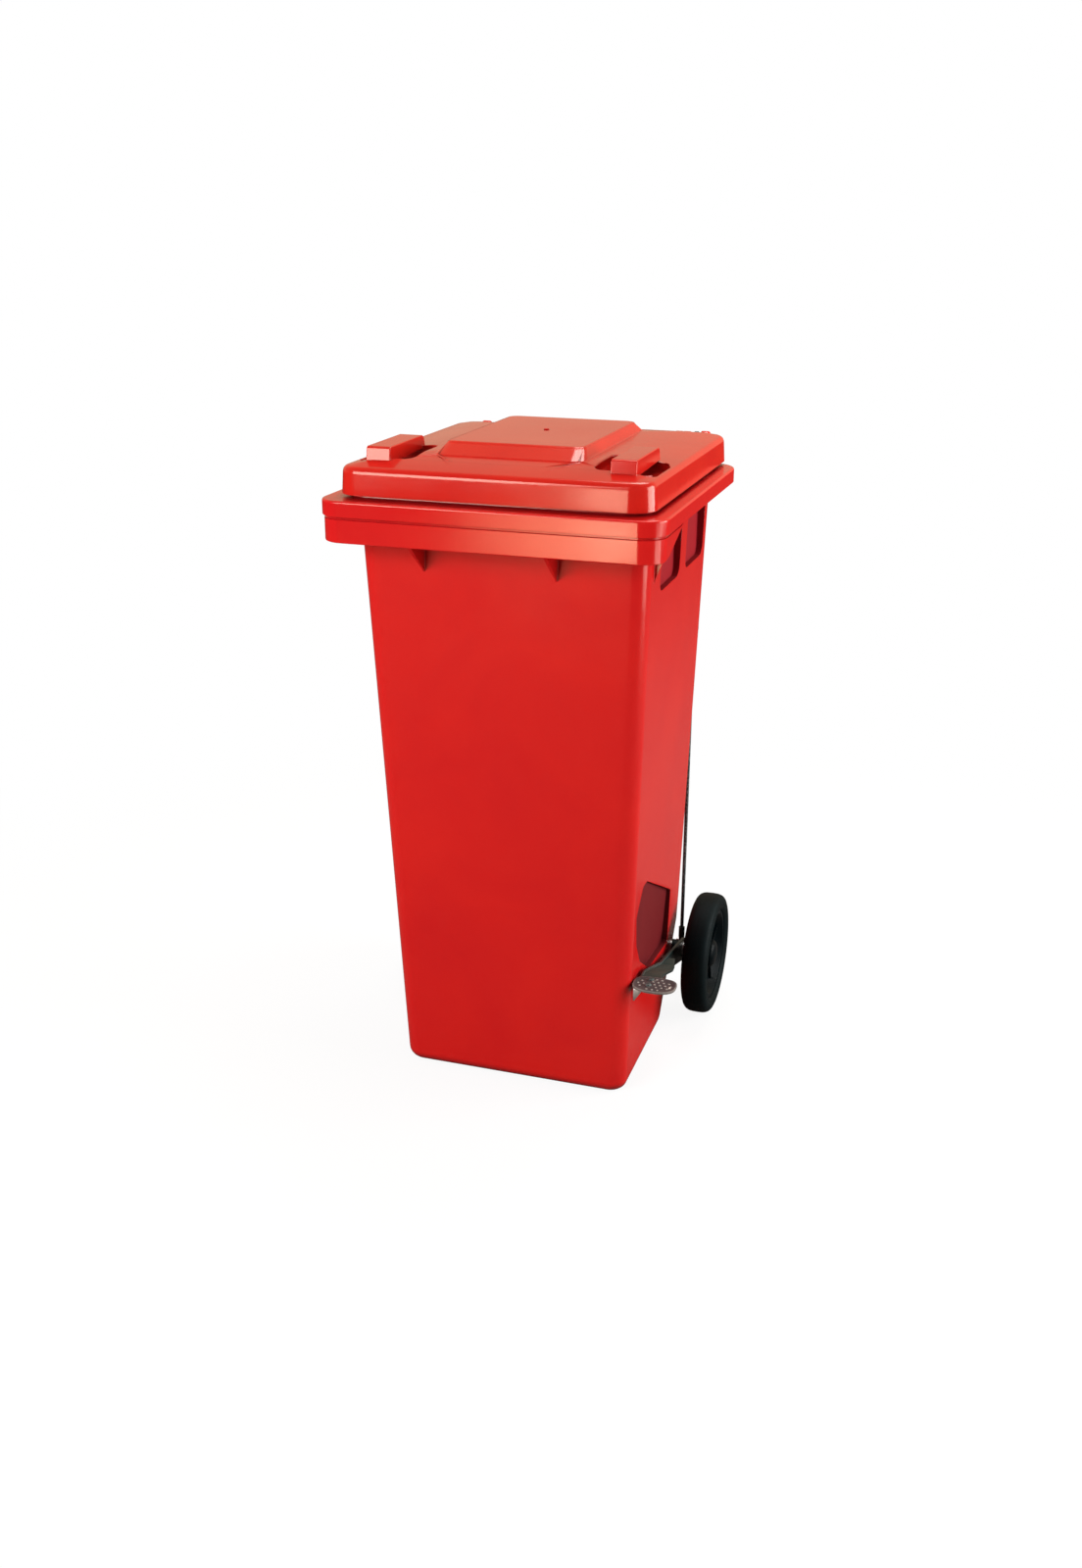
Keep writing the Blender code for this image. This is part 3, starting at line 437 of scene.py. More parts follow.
def zinc(name):
    """Zinc-plated steel: bright, slightly bluish, with fine drawn lines and cloudy passivation."""
    m, nt, sh, co = base_material(name)
    cloud = noise(nt, co, 70.0, 5.0, 0.65)
    nt.links.new(ramp(nt, cloud, [(0.3, (0.44, 0.45, 0.46)), (0.75, (0.66, 0.66, 0.64))]), sh.inputs["Base Color"])
    line = noise(nt, co, 260.0, 3.0, 0.6, stretch=(0.15, 6.0, 6.0))
    nt.links.new(remap(nt, cloud, 0.3, 0.7, 0.26, 0.44), sh.inputs["Roughness"])
    bump(nt, sh, line, 0.00006, 0.7)
    sh.inputs["Metallic"].default_value = 1.0
    return m


def tread_metal(name):
    """Gritty brown-grey tread coating, rubbed pale on its front edge and studs."""
    m, nt, sh, co = base_material(name)
    grit = noise(nt, co, 330.0, 4.0, 0.75)
    big = noise(nt, co, 45.0, 3.0, 0.6)
    body = ramp(nt, grit, [(0.30, (0.014, 0.010, 0.011)), (0.52, (0.030, 0.022, 0.024)), (0.75, (0.085, 0.070, 0.072))])
    body = mix(nt, remap(nt, big, 0.35, 0.7, 0.0, 0.45), body, (0.075, 0.046, 0.044, 1.0))
    geo = nt.nodes.new("ShaderNodeNewGeometry")
    edge = remap(nt, geo.outputs["Pointiness"], 0.53, 0.62, 0.0, 0.85)
    colour = mix(nt, edge, body, (0.74, 0.68, 0.60, 1.0))
    nt.links.new(colour, sh.inputs["Base Color"])
    nt.links.new(remap(nt, grit, 0.3, 0.7, 0.55, 0.85), sh.inputs["Roughness"])
    bump(nt, sh, grit, 0.0005, 0.8)
    return m


BODY_RED = hdpe("bin_red_hdpe", (0.575, 0.0085, 0.0098, 1.0), (0.640, 0.0120, 0.0100, 1.0), rough=(0.12, 0.19))
LID_RED = hdpe("lid_red_hdpe", (0.540, 0.0110, 0.0085, 1.0), (0.600, 0.0180, 0.0095, 1.0), rough=(0.11, 0.17))
# darker, rougher copies of the same red plastic for the floors of the side hollows and the lower facet: painted shade
# standing in for the shade in those recesses
HOLLOW_RED_PAINTED_SHADE = hdpe("bin_red_hdpe_hollow_painted_shade", (0.255, 0.0030, 0.0095, 1.0), (0.290, 0.0036, 0.0110, 1.0), rough=(0.66, 0.74))
FACET_RED_PAINTED_SHADE = hdpe("bin_red_hdpe_facet_painted_shade", (0.120, 0.0050, 0.0080, 1.0), (0.145, 0.0065, 0.0100, 1.0), rough=(0.66, 0.74))
for _m in (HOLLOW_RED_PAINTED_SHADE, FACET_RED_PAINTED_SHADE):
    for _n in _m.node_tree.nodes:
        if _n.type == "BSDF_PRINCIPLED":
            _n.inputs["Specular IOR Level"].default_value = 0.16
TYRE = rubber("tyre_rubber", 0.0026, 0.60)
SOFT = rubber("soft_black_rubber", 0.016, 0.7)
PLASTIC = black_plastic("black_moulding")
PAINT = painted_steel("dark_lacquered_steel")
ZINC = zinc("zinc_plate")
TREAD = tread_metal("gritty_tread")


# ---------------------------------------------------------------- container
def wall_at(z):
    t = (z - Z_LOW) / (Z_NECK - Z_LOW)
    return BASE_HX + (TOP_HX - BASE_HX) * t, BASE_YF + (TOP_YF - BASE_YF) * t


def heel_at(z):
    if z < HEEL_Z:
        return HEEL_Y0 + (HEEL_Y1 - HEEL_Y0) * z / HEEL_Z
    return min(REAR_Y, HEEL_Y1 + (z - HEEL_Z) * 0.04)


def body_ring(z, inset=0.0, r=CORNER_R):
    hx, yf = wall_at(z)
    return rounded(hx - inset, yf + inset, heel_at(z) - inset, max(r - inset, 0.006), max(r - inset, 0.006), z)


def rim_ring(inset, z):
    return rounded(RIM_HX - inset, RIM_YF + inset, RIM_YR - inset, RIM_RF - inset, RIM_RR - inset, z)


def side_prism(outline, x0, x1, side):
    return prism("side_prism", outline, min(x0 * side, x1 * side), max(x0 * side, x1 * side), "X")


def make_body():
    rings = []
    for k in range(7):
        a = math.radians(90 * k / 6)
        rings.append(body_ring(0.018 * (1 - math.cos(a)), 0.0135 * (1 - math.sin(a)), 0.024 + 0.006 * (1 - math.sin(a))))
    rings += [body_ring(z) for z in (Z_LOW, 0.075, HEEL_Z - 0.006, HEEL_Z, HEEL_Z + 0.006, HEEL_Z + 0.05, 0.33, 0.50, 0.68, 0.80, Z_NECK)]
    neck = dict(rf=0.034, rr=0.036)
    rings += [rounded(0.2105, -0.238, 0.206, z=0.886, **neck), rounded(0.2105, -0.238, 0.206, z=RIM_Z - RIM_T, **neck)]
    rings += [rim_ring(0.004, RIM_Z - RIM_T), rim_ring(0.004, RIM_SKIRT_Z + 0.001), rim_ring(0.0032, RIM_SKIRT_Z + 0.0002),
              rim_ring(0.002, RIM_SKIRT_Z), rim_ring(0.0008, RIM_SKIRT_Z + 0.0002), rim_ring(0.0, RIM_SKIRT_Z + 0.001)]
    for k in range(7):
        a = math.radians(90 * k / 6)
        rings.append(rim_ring(0.0032 * (1 - math.cos(a)), RIM_Z - 0.0032 + 0.0032 * math.sin(a)))
    rings += [rounded(COLLAR_HX + g, COLLAR_YF - g, COLLAR_YR + g, 0.033 + g, 0.035 + g, z) for g, z in
              ((0.0018, RIM_Z), (0.0006, RIM_Z + 0.0005), (0.0, RIM_Z + 0.0018), (-0.0006, COLLAR_Z - 0.0008), (-0.0014, COLLAR_Z))]
    body = loft("bin_body_v", rings)

    inner = [body_ring(FLOOR_T, WALL + 0.010, 0.034), body_ring(FLOOR_T + 0.003, WALL + 0.004, 0.031),
             body_ring(FLOOR_T + 0.009, WALL + 0.0012, 0.029),
             body_ring(0.035, WALL), body_ring(HEEL_Z, WALL), body_ring(HEEL_Z + 0.05, WALL), body_ring(0.5, WALL), body_ring(Z_NECK, WALL),
             rounded(0.2055, -0.2335, 0.201, 0.030, 0.031, 0.886),
             rounded(0.2050, -0.2335, 0.201, 0.030, 0.031, COLLAR_Z + 0.01)]
    space = loft("inner_space", inner)

    upper = [[(y0, 0.884), (y0, 0.778), (y1, 0.778), (y1, 0.884)] for y0, y1 in ((-0.130, -0.014), (0.022, 0.136))]
    lower = [(-0.141, 0.292), (-0.110, 0.328), (-0.087, 0.328), (0.086, 0.240), (0.088, 0.192), (0.088, 0.146), (0.081, 0.146), (-0.035, 0.158), (-0.100, 0.201), (-0.130, 0.242)]
    for side in (1, -1):
        for o in upper:
            shape = [o[0]] + round_outline(o, 0.016)[9:27] + [o[3]]
            grown = [(o[0][0] - WALL, 0.8885), (o[0][0] - WALL, 0.772), (o[3][0] + WALL, 0.772), (o[3][0] + WALL, 0.8885)]
            boolean(space, side_prism(grown, 0.1905, 0.230, side))
            boolean(body, side_prism(shape, 0.1950, 0.229, side))
        cx, cz = -0.01, 0.225
        big = [(cx + (y - cx) * 1.05, cz + (z - cz) * 1.07) for y, z in lower]
        for target, outline, depth in ((space, big, WALL), (body, round_outline(lower[::-1], 0.006, 4)[::-1], 0.0)):
            hx0, _ = wall_at(0.318)
            hx1, _ = wall_at(0.146)
            def skew(z):
                t = (0.318 - z) / (0.318 - 0.146)
                return hx0 - 0.004 + (hx1 - 0.010 - (hx0 - 0.004)) * t - depth
            boolean(target, loft("facet", [[(side * skew(z), y, z) for y, z in outline], [(side * 0.215, y, z) for y, z in outline]]))
    boolean(body, space)

    def hollow_edge(p):
        return abs(p.x) > 0.155 and -0.16 < p.y < 0.16 and (0.13 < p.z < 0.335 or 0.765 < p.z < 0.872) and abs(p.x) > wall_at(p.z)[0] - 0.030
    soften(body, 0.0013, 30, hollow_edge, 2)

    # comb apron under the front of the rim
    path = []
    hx, yf, r = RIM_HX - COMB_SET, RIM_YF + COMB_SET, RIM_RF - COMB_SET
    stations = [(COMB_END_Y, 0.8795), (-0.162, 0.8705), (-0.222, 0.8485)]
    side_pts = [((hx, y), (1, 0), z) for y, z in stations]
    arc_pts = []
    for k in range(11):
        a = -9.0 * k
        c, s = math.cos(math.radians(a)), math.sin(math.radians(a))
        arc_pts.append(((hx - r + r * c, yf + r + r * s), (c, s), COMB_Z + max(0.0, 0.0015 * (1 - k / 2))))
    right = side_pts + arc_pts
    left = [((-p[0], p[1]), (-nx, ny), z) for p, (nx, ny), z in reversed(right)]
    for p, nrm, z in right + left:
        row = []
        for d, zz in ((0.0, z + 0.0016), (0.0005, z + 0.0005), (0.0016, z), (0.0028, z + 0.0003), (0.004, z + 0.0012), (0.004, 0.8855),
                      (0.0019, 0.8855), (0.0019, max(0.8776, z + 0.0022)), (0.0014, max(0.8769, z + 0.0020)), (0.0, max(0.8764, z + 0.0018))):
            q = Vector(p) - Vector(nrm) * d
            row.append((q.x, q.y, zz))
        path.append(row)
    join_to(body, loft("comb", path))
    for x in (-0.110, 0.080):
        profile = [(-0.2655, 0.8505), (-0.2655, 0.8560), (-0.230, 0.8985), (-0.200, 0.8985), (-0.2038, 0.800)]
        join_to(body, loft("rib", [[(x + sgn * (0.0016 + (z - 0.800) * 0.030), y, z) for y, z in profile] for sgn in (-1, 1)]))
    for side in (1, -1):
        gus = prism("gusset", [(0.2365 * side, 0.8985), (0.2365 * side, 0.8830), (0.2035 * side, 0.795), (0.2030 * side, 0.8985)],
                    -0.1685, -0.1615, "Y")
        join_to(body, gus)
    lug = hull(circle(AXLE_Y, AXLE_Z, 0.0185, 40) + [(0.1128, 0.0561), (0.1621, 0.1493)])
    for x0, x1 in ((-0.165, -0.153), (-0.052, -0.040), (0.040, 0.052), (0.153, 0.165)):
        join_to(body, prism("lug", lug, x0, x1, "X"))
    boolean(body, turned("axle_bore", [(-0.18, AXLE_R + 0.0004), (0.18, AXLE_R + 0.0004)], (0, AXLE_Y, AXLE_Z), "X", 40))
    cheek = hull([(0.2085, 0.8985), (0.2085, 0.8835)] + circle(BAR_Y, BAR_Z, BAR_R + 0.004, 40) + [(0.262, 0.898), (0.236, 0.9035)])
    eye = hull(circle(HINGE_Y, HINGE_Z, 0.0105, 40) + [(0.2365, 0.900), (0.2555, 0.900)])
    for side in (1, -1):
        lo, hi = sorted((CHEEK_X0 * side, CHEEK_X1 * side))
        join_to(body, prism("cheek", cheek, lo, hi, "X"))
        join_to(body, prism("eye", eye, lo + 0.0007, hi - 0.0007, "X"))
    join_to(body, turned("bar", [(-0.138, BAR_R), (0.138, BAR_R)], (0, BAR_Y, BAR_Z), "X", 40))
    boolean(body, turned("hinge_bore", [(-0.16, HINGE_PIN_R + 0.0004), (0.16, HINGE_PIN_R + 0.0004)], (0, HINGE_Y, HINGE_Z), "X", 24))
    for z in GUIDE_Z:
        for dz in (-0.012, 0.012):
            boolean(body, turned("screw_hole", [(REAR_Y - 0.003, 0.0025), (REAR_Y + 0.01, 0.0025)], (GUIDE_SCREW_X, 0, z + dz), "Y", 16))

    def added_edge(p):
        if p.y > 0.2165 or (p.y > 0.17 and p.z > 0.865 and abs(p.x) < 0.15):
            return True
        if p.z < 0.16 and p.y > 0.115 and abs(p.x) < 0.167 and abs(p.x) > 0.039:
            return True
        if p.z < 0.895 and p.y < -0.155 and (abs(abs(p.x + 0.015) - 0.095) < 0.0085 and p.y > -0.266):
            return True
        return abs(p.x) > 0.204 and abs(p.y + 0.165) < 0.004 and p.z < 0.879
    soften(body, 0.0008, 38, added_edge, 2, 0.0004)
    dress(shade(body, 34), "bin_shell", BODY_RED, "root", "bin_red", "bin_body")
    # the floors of the two upper hollows on each side and of the lower leaning facet get the darker copies of the red:
    # painted shade
    body.data.materials.append(HOLLOW_RED_PAINTED_SHADE)
    body.data.materials.append(FACET_RED_PAINTED_SHADE)
    for f in body.data.polygons:
        c = f.center
        skin = wall_at(c.z)[0]
        if any(y0 - 0.0012 < c.y < y1 + 0.0012 for y0, y1 in ((-0.130, -0.014), (0.022, 0.136))) and 0.7775 < c.z < 0.885:
            if 0.1942 < abs(c.x) < skin - 0.0004:
                f.material_index = 1
        elif -0.1422 < c.y < 0.0892 and 0.1448 < c.z < 0.3292:
            if skin - 0.0125 < abs(c.x) < skin - 0.0007 and (f.normal.x * c.x > 0 or abs(f.normal.x) < 0.9):
                f.material_index = 2
    return body


# ---------------------------------------------------------------- lid
def crown(d):
    return LID_CROWN * (1 - (1 - min(d, 0.12) / 0.12) ** 2)


def lid_ring(inset, z):
    r = max(LID_R - inset, 0.008)
    return rounded(LID_HX - inset, LID_YF + inset, LID_YR - inset, r, r, z)


def make_lid():
    top = LID_SHOULDER_Z + 0.005
    rings = [lid_ring(0.0012, LID_Z0), lid_ring(0.0003, LID_Z0 + 0.0003), lid_ring(0.0, LID_Z0 + 0.0012), lid_ring(0.0009, 0.921),
             lid_ring(0.0018, 0.9345)]
    for k in range(1, 8):
        a = math.radians(84 * k / 8)
        rings.append(lid_ring(0.0018 + 0.0092 * (1 - math.cos(a)), 0.9345 + 0.0098 * math.sin(a)))
    rings += [lid_ring(0.0110 + d, top + 0.0003 + crown(d)) for d in (0.003, 0.008, 0.016, 0.026, 0.038, 0.052, 0.068, 0.086, 0.104, 0.118)]
    lid = loft("lid_v", rings)
    pad = [rounded(PAD_HX0 + 0.001, PAD_YF0 - 0.001, PAD_YR0 + 0.001, 0.020, 0.020, 0.948),
           rounded(PAD_HX0, PAD_YF0, PAD_YR0, 0.020, 0.020, 0.9545)]
    slope = (PAD_Z - 0.0026 - 0.9545)
    for t in (0.35, 0.7, 1.0):
        pad.append(rounded(PAD_HX0 + (PAD_HX1 + 0.0014 - PAD_HX0) * t, PAD_YF0 + (PAD_YF1 - 0.004 - PAD_YF0) * t,
                           PAD_YR0 + (PAD_YR1 + 0.003 - PAD_YR0) * t, 0.020 - 0.006 * t, 0.020 - 0.006 * t, 0.9545 + slope * t))
    for a, z, b in ((0.0006, 0.0013, 0.0025), (-0.0004, 0.0005, 0.0008), (-0.0016, 0.0001, -0.0012), (-0.003, 0.0, -0.003)):
        pad.append(rounded(PAD_HX1 + a, PAD_YF1 - b, PAD_YR1 + b * 0.8, 0.013, 0.013, PAD_Z - z))
    join_to(lid, loft("pad", pad))

    inner = [lid_ring(LID_T, LID_Z0 - 0.01), lid_ring(LID_T + 0.0016, LID_SHOULDER_Z - 0.0045), lid_ring(LID_T + 0.005, LID_SHOULDER_Z - 0.0005),
             lid_ring(LID_T + 0.010, top - LID_T)]
    inner += [lid_ring(LID_T + 0.0105 + d, top + crown(d) - LID_T) for d in (0.015, 0.03, 0.048, 0.065, 0.085, 0.105)]
    space = loft("lid_space", inner)
    under = [rounded(PAD_HX0 - LID_T, PAD_YF0 + LID_T, PAD_YR0 - LID_T, 0.016, 0.016, 0.940),
             rounded(PAD_HX0 - LID_T, PAD_YF0 + LID_T, PAD_YR0 - LID_T, 0.016, 0.016, 0.9525),
             rounded(PAD_HX1 - LID_T, PAD_YF1 + LID_T, PAD_YR1 - LID_T, 0.010, 0.010, PAD_Z - LID_T)]
    join_to(space, loft("pad_space", under))
    for side in (1, -1):
        def pocket(grow, z):
            lo, hi = sorted(((POCKET_X0 - grow) * side, (POCKET_X1 + grow) * side))
            cx, hw = (lo + hi) / 2, (hi - lo) / 2
            return [(x + cx, y, zz) for x, y, zz in rounded(hw, POCKET_Y0 - grow, POCKET_Y1 + grow, 0.016, 0.016, z, 9)]
        boolean(space, loft("pocket_skin", [pocket(-0.004 + LID_T, POCKET_Z - LID_T), pocket(LID_T, 0.944), pocket(LID_T, 0.975)]))
        boolean(lid, loft("pocket", [pocket(-0.0065, POCKET_Z), pocket(-0.0045, POCKET_Z + 0.0006), pocket(-0.0032, POCKET_Z + 0.0022),
                                     pocket(0.0, 0.945), pocket(0.0, 0.980)]))
    boolean(lid, space)
    boolean(lid, turned("gate", [(PAD_Z - 0.0006, 0.0), (PAD_Z - 0.0006, 0.0032), (PAD_Z + 0.002, 0.0044), (PAD_Z + 0.002, 0.0)], (0, 0, 0), "Z", 24))

    def top_edge(p):
        if p.z < 0.9375:
            return False
        near_pad = abs(p.x) < PAD_HX0 + 0.006 and PAD_YF0 - 0.008 < p.y < PAD_YR0 + 0.008 and p.z > 0.9515
        near_pocket = POCKET_X0 - 0.004 < abs(p.x) < POCKET_X1 + 0.004 and POCKET_Y0 - 0.004 < p.y < POCKET_Y1 + 0.004 and p.z > 0.9425
        return near_pad or near_pocket
    soften(lid, 0.0018, 14, top_edge, 3, 0.0003)
    grips = []
    for side in (1, -1):
        lo, hi = sorted((GRIP_X0 * side, GRIP_X1 * side))
        outline = hull([(GRIP_Y0, 0.9465), (GRIP_Y0 + 0.003, GRIP_Z - 0.002), (GRIP_Y0 + 0.006, GRIP_Z), (GRIP_Y1 - 0.008, GRIP_Z + 0.0005),
                        (GRIP_Y1 - 0.003, GRIP_Z - 0.003), (GRIP_Y1 + 0.002, 0.9500), (GRIP_Y1 - 0.004, 0.9495), (GRIP_Y0 + 0.006, 0.9460)])
        grip = soften(prism("grip", outline, lo, hi, "X"), 0.0015, 34, lambda p: p.z > 0.951, 3)
        grips.append(grip)
    knuckle = hull(circle(HINGE_Y, HINGE_Z, 0.0105, 36) + [(LID_YR - 0.0035, 0.9385), (LID_YR - 0.0035, 0.9175)])
    for side in (1, -1):
        lo, hi = sorted((0.1443 * side, 0.1557 * side))
        join_to(lid, prism("knuckle", knuckle, lo, hi, "X"))
    boolean(lid, turned("hinge_bore", [(-0.17, HINGE_PIN_R + 0.0004), (0.17, HINGE_PIN_R + 0.0004)], (0, HINGE_Y, HINGE_Z), "X", 24))
    boolean(lid, block("notch", (0.1565, 0.2235, 0.900), (0.1925, 0.240, 0.9385)))
    soften(lid, 0.0006, 40, lambda p: p.y > 0.2325, 2, 0.0004)
    merge(lid, grips)
    return dress(shade(lid, 34), "lid_shell", LID_RED, "lid", "lid_red", "lid")


# ---------------------------------------------------------------- wheels
def make_wheels():
    tyre = []
    tyre += [(-0.0165, 0.0740), (-0.0178, 0.0752), (-0.0198, 0.0780), (-0.0206, 0.0800), (-0.0202, 0.0808), (-0.0202, 0.0822), (-0.0208, 0.0830)]
    for k in range(13):
        a = math.radians(180 - 15 * k)
        c, s = math.cos(a), math.sin(a)
        tyre.append((0.0210 * math.copysign(abs(c) ** 0.62, c), 0.0860 + 0.0140 * abs(s) ** 0.75))
    tyre += [(0.0208, 0.0830), (0.0202, 0.0822), (0.0202, 0.0808), (0.0206, 0.0800), (0.0198, 0.0780), (0.0178, 0.0752), (0.0165, 0.0740)]
    hub = [(-0.0210, 0.0104), (-0.0210, 0.0196), (-0.0204, 0.0205), (-0.0052, 0.0230), (-0.0040, 0.0245), (-0.0040, 0.0600), (-0.0050, 0.0620),
           (-0.0150, 0.0655), (-0.0160, 0.0668), (-0.0160, 0.0737), (0.0160, 0.0737), (0.0160, 0.0674), (0.0150, 0.0664), (0.0042, 0.0628),
           (0.0030, 0.0610), (0.0030, 0.0255), (0.0040, 0.0243), (0.0072, 0.0235), (0.0080, 0.0226), (0.0080, 0.0104)]
    cap = [(0.2516, 0.0), (0.2514, 0.0045), (0.2508, 0.0100), (0.2494, 0.0160), (0.2476, 0.0196), (0.2450, 0.0217), (0.2428, 0.0225),
           (0.2409, 0.0225), (0.2403, 0.0219), (0.2403, 0.0185), (0.2462, 0.0178), (0.2487, 0.0120), (0.2492, 0.0)]
    for side, tag in ((-1, "left"), (1, "right")):
        c = (WHEEL_X * side, AXLE_Y, AXLE_Z)
        t = turned("tyre", [(a * side, r) for a, r in tyre], c, "X", 112, ring=True)
        dress(shade(t, 40, False), "tyre_fine_" + tag, TYRE, "wheel_" + tag, "black_rubber", "tyre_" + tag)
        h = turned("hub", [(a * side, r) for a, r in hub], c, "X", 96, ring=True)
        # stiffening ribs on both faces of the web
        for k in range(8):
            a = math.pi * 2 * (k + 0.5) / 8
            d, n = Vector((math.cos(a), math.sin(a))), Vector((-math.sin(a), math.cos(a)))
            pts = [d * 0.0215 + n * 0.0016, d * 0.0215 - n * 0.0016, d * 0.0665 - n * 0.0016, d * 0.0665 + n * 0.0016]
            for lo, hi in ((-0.0125, -0.0035), (0.0025, 0.0078)):
                xs = sorted((c[0] + lo * side, c[0] + hi * side))
                join_to(h, prism("rib", [(c[1] + p.x, c[2] + p.y) for p in pts], xs[0], xs[1], "X"))
        soften(h, 0.0005, 40, None, 2, 0.0006)
        dress(shade(h, 40, False), "wheel_hub_fine_" + tag, PLASTIC, "wheel_" + tag, "black_plastic", "wheel_hub_" + tag)
        k = turned("cap", [(a * side, r) for a, r in cap], (0, AXLE_Y, AXLE_Z), "X", 56)
        dress(shade(k, 40, False), "hub_cap_fine_" + tag, PLASTIC, "wheel_" + tag, "black_plastic", "hub_cap_" + tag)


# ---------------------------------------------------------------- pedal tread
def make_tread():
    cx, cy = 0.2190, -0.1485
    def outline(inset, z, n=72):
        out = []
        for i in range(n):
            a = 2 * math.pi * i / n
            c, s = math.cos(a), math.sin(a)
            e = 2 / 2.4 if s < 0 else 2 / 3.4
            out.append((cx + (0.0325 - inset) * math.copysign(abs(c) ** e, c),
                        cy + (0.0235 - inset) * math.copysign(abs(s) ** e, s), z))
        return out
    t = loft("tread", [outline(0.0009, 0.1881), outline(0.0002, 0.1884), outline(0.0, 0.1892), outline(0.0, 0.1909), outline(0.0004, 0.1917),
                       outline(0.0014, TREAD_Z), outline(0.0036, TREAD_Z), outline(0.0044, TREAD_Z - 0.0006)])
    for y in (-0.152, -0.134):
        boolean(t, turned("hole", [(0.17, 0.0029), (0.20, 0.0029)], (0.210, y, 0), "Z", 24))
    for i in range(-3, 4):
        for j in range(-3, 4):
            x, y = cx + i * 0.0082 + (0.0041 if j % 2 else 0.0), cy + j * 0.0080
            if math.hypot((x - cx) / 0.0275, (y - cy) / 0.0185) > 1.0 or min(math.hypot(x - 0.210, y + 0.152), math.hypot(x - 0.210, y + 0.134)) < 0.0078:
                continue
            z = TREAD_Z - 0.0012
            stud = turned("stud", [(z, 0.0), (z, 0.0019), (z + 0.0008, 0.0018), (z + 0.0013, 0.0012), (z + 0.0014, 0.0)], (x, y, 0), "Z", 12)
            join_to(t, stud)
    dress(shade(t, 40, False), "pedal_tread_fine", TREAD, "pedal", "tread_plate", "pedal_tread")


# ---------------------------------------------------------------- pieces whose shape comes from the frame
def from_frame(node, mat, body, slot, width=0.0005, degrees=34, segments=2, shortest=0.0003):
    """A copy of the frame's piece with its edges rounded."""
    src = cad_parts[node]
    ob = bpy.data.objects.new(node + "_fine", src.data.copy())
    SCENE.collection.objects.link(ob)
    bm = bmesh.new()
    bm.from_mesh(ob.data)
    bmesh.ops.remove_doubles(bm, verts=bm.verts, dist=5e-6)
    bmesh.ops.dissolve_limit(bm, angle_limit=0.02, verts=bm.verts, edges=bm.edges)
    bm.to_mesh(ob.data)
    bm.free()
    if width:
        soften(ob, width, degrees, None, segments, shortest)
    return dress(shade(ob, 40, False), node + "_fine", mat, body, slot, node)


make_body()
make_lid()
make_wheels()
make_tread()
for nd, mt, bd, sl, w in (
        ("pedal_arm", PAINT, "pedal", "dark_steel", 0.0006), ("lifter_arm", PAINT, "lifter", "dark_steel", 0.0006),
        ("rod_eye_lower", PAINT, "push_rod", "dark_steel", 0.0004), ("rod_eye_upper", PAINT, "push_rod", "dark_steel", 0.0004),
        ("rod_guide_lower", PAINT, "root", "dark_steel", 0.0005), ("rod_guide_upper", PAINT, "root", "dark_steel", 0.0005),
        ("lifter_shoe", SOFT, "lifter", "soft_rubber", 0.0012), ("tread_gusset", ZINC, "pedal", "zinc", 0.0004),
        ("lower_pin_nut", ZINC, "push_rod", "zinc", 0.0004), ("upper_pin_nut", ZINC, "push_rod", "zinc", 0.0004),
        ("lid_buffer_left", SOFT, "lid", "soft_rubber", 0.0008), ("lid_buffer_right", SOFT, "lid", "soft_rubber", 0.0008)):
    from_frame(nd, mt, bd, sl, w)


def fine_turned(node, profile, centre, axis, mat, body, slot, n=48, ring=False):
    ob = turned(node, profile, centre, axis, n, ring)
    soften(ob, 0.0003, 34, None, 2)
    return dress(shade(ob, 40, False), node + "_fine", mat, body, slot, node)


H, A = (0, HINGE_Y, HINGE_Z), (0, AXLE_Y, AXLE_Z)
for side, tag in ((-1, "left"), (1, "right")):
    cap = [(0.1868, 0.0), (0.1867, 0.0060), (0.1862, 0.0094), (0.1852, 0.0110), (0.1838, 0.0120), (0.1738, 0.0120), (0.1727, 0.0116), (0.1724, 0.0108),
           (0.1724, 0.0044), (0.1840, 0.0044), (0.1840, 0.0)]
    fine_turned("hinge_cap_" + tag, [(side * a, r) for a, r in cap], H, "X", BODY_RED, "root", "bin_red")
    pin = [(0.1275, 0.0), (0.1277, 0.0040), (0.1284, 0.0062), (0.1300, 0.0070), (0.1316, 0.0070), (0.1316, 0.0040), (0.1835, 0.0040), (0.1835, 0.0)]
    fine_turned("hinge_pin_" + tag, [(side * a, r) for a, r in pin], H, "X", ZINC, "root", "zinc", 32)
    fine_turned("axle_clip_" + tag, [(side * a, r) for a, r in ((0.2405, 0.0104), (0.2405, 0.0160), (0.2425, 0.0160), (0.2425, 0.0104))], A, "X",
                ZINC, "root", "zinc", 48, True)
fine_turned("axle", [(-0.245, 0.0), (-0.245, 0.009), (-0.244, 0.010), (0.244, 0.010), (0.245, 0.009), (0.245, 0.0)], A, "X", ZINC, "root", "zinc", 56)
for nd, lo, hi, ro, ri, c, mt, bd, sl in (
        ("axle_spacer_left", -0.2106, -0.1654, 0.0145, 0.0104, A, PLASTIC, "root", "black_plastic"),
        ("axle_spacer_right", 0.1654, 0.1856, 0.0145, 0.0104, A, PLASTIC, "root", "black_plastic"),
        ("axle_washer_right", 0.2064, 0.2106, 0.0165, 0.0104, A, ZINC, "root", "zinc"),
        ("hinge_spacer_left", -0.1720, -0.1560, 0.0085, 0.0044, H, PLASTIC, "root", "black_plastic"),
        ("pedal_bush", 0.1860, 0.2060, 0.0135, 0.0104, A, ZINC, "pedal", "zinc")):
    fine_turned(nd, [(lo, ri), (lo, ro), (hi, ro), (hi, ri)], c, "X", mt, bd, sl, 48, True)

# the remaining small pieces keep the frame's shape and get their finish
KEPT = {"push_rod": PAINT, "tread_rivet_front": PAINT, "tread_rivet_rear": PAINT}
for name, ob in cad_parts.items():
    if ob.hide_render:
        continue
    mat = KEPT.get(name, ZINC)
    if not ob.material_slots:
        ob.data.materials.append(mat)
    for s in ob.material_slots:
        s.material = mat

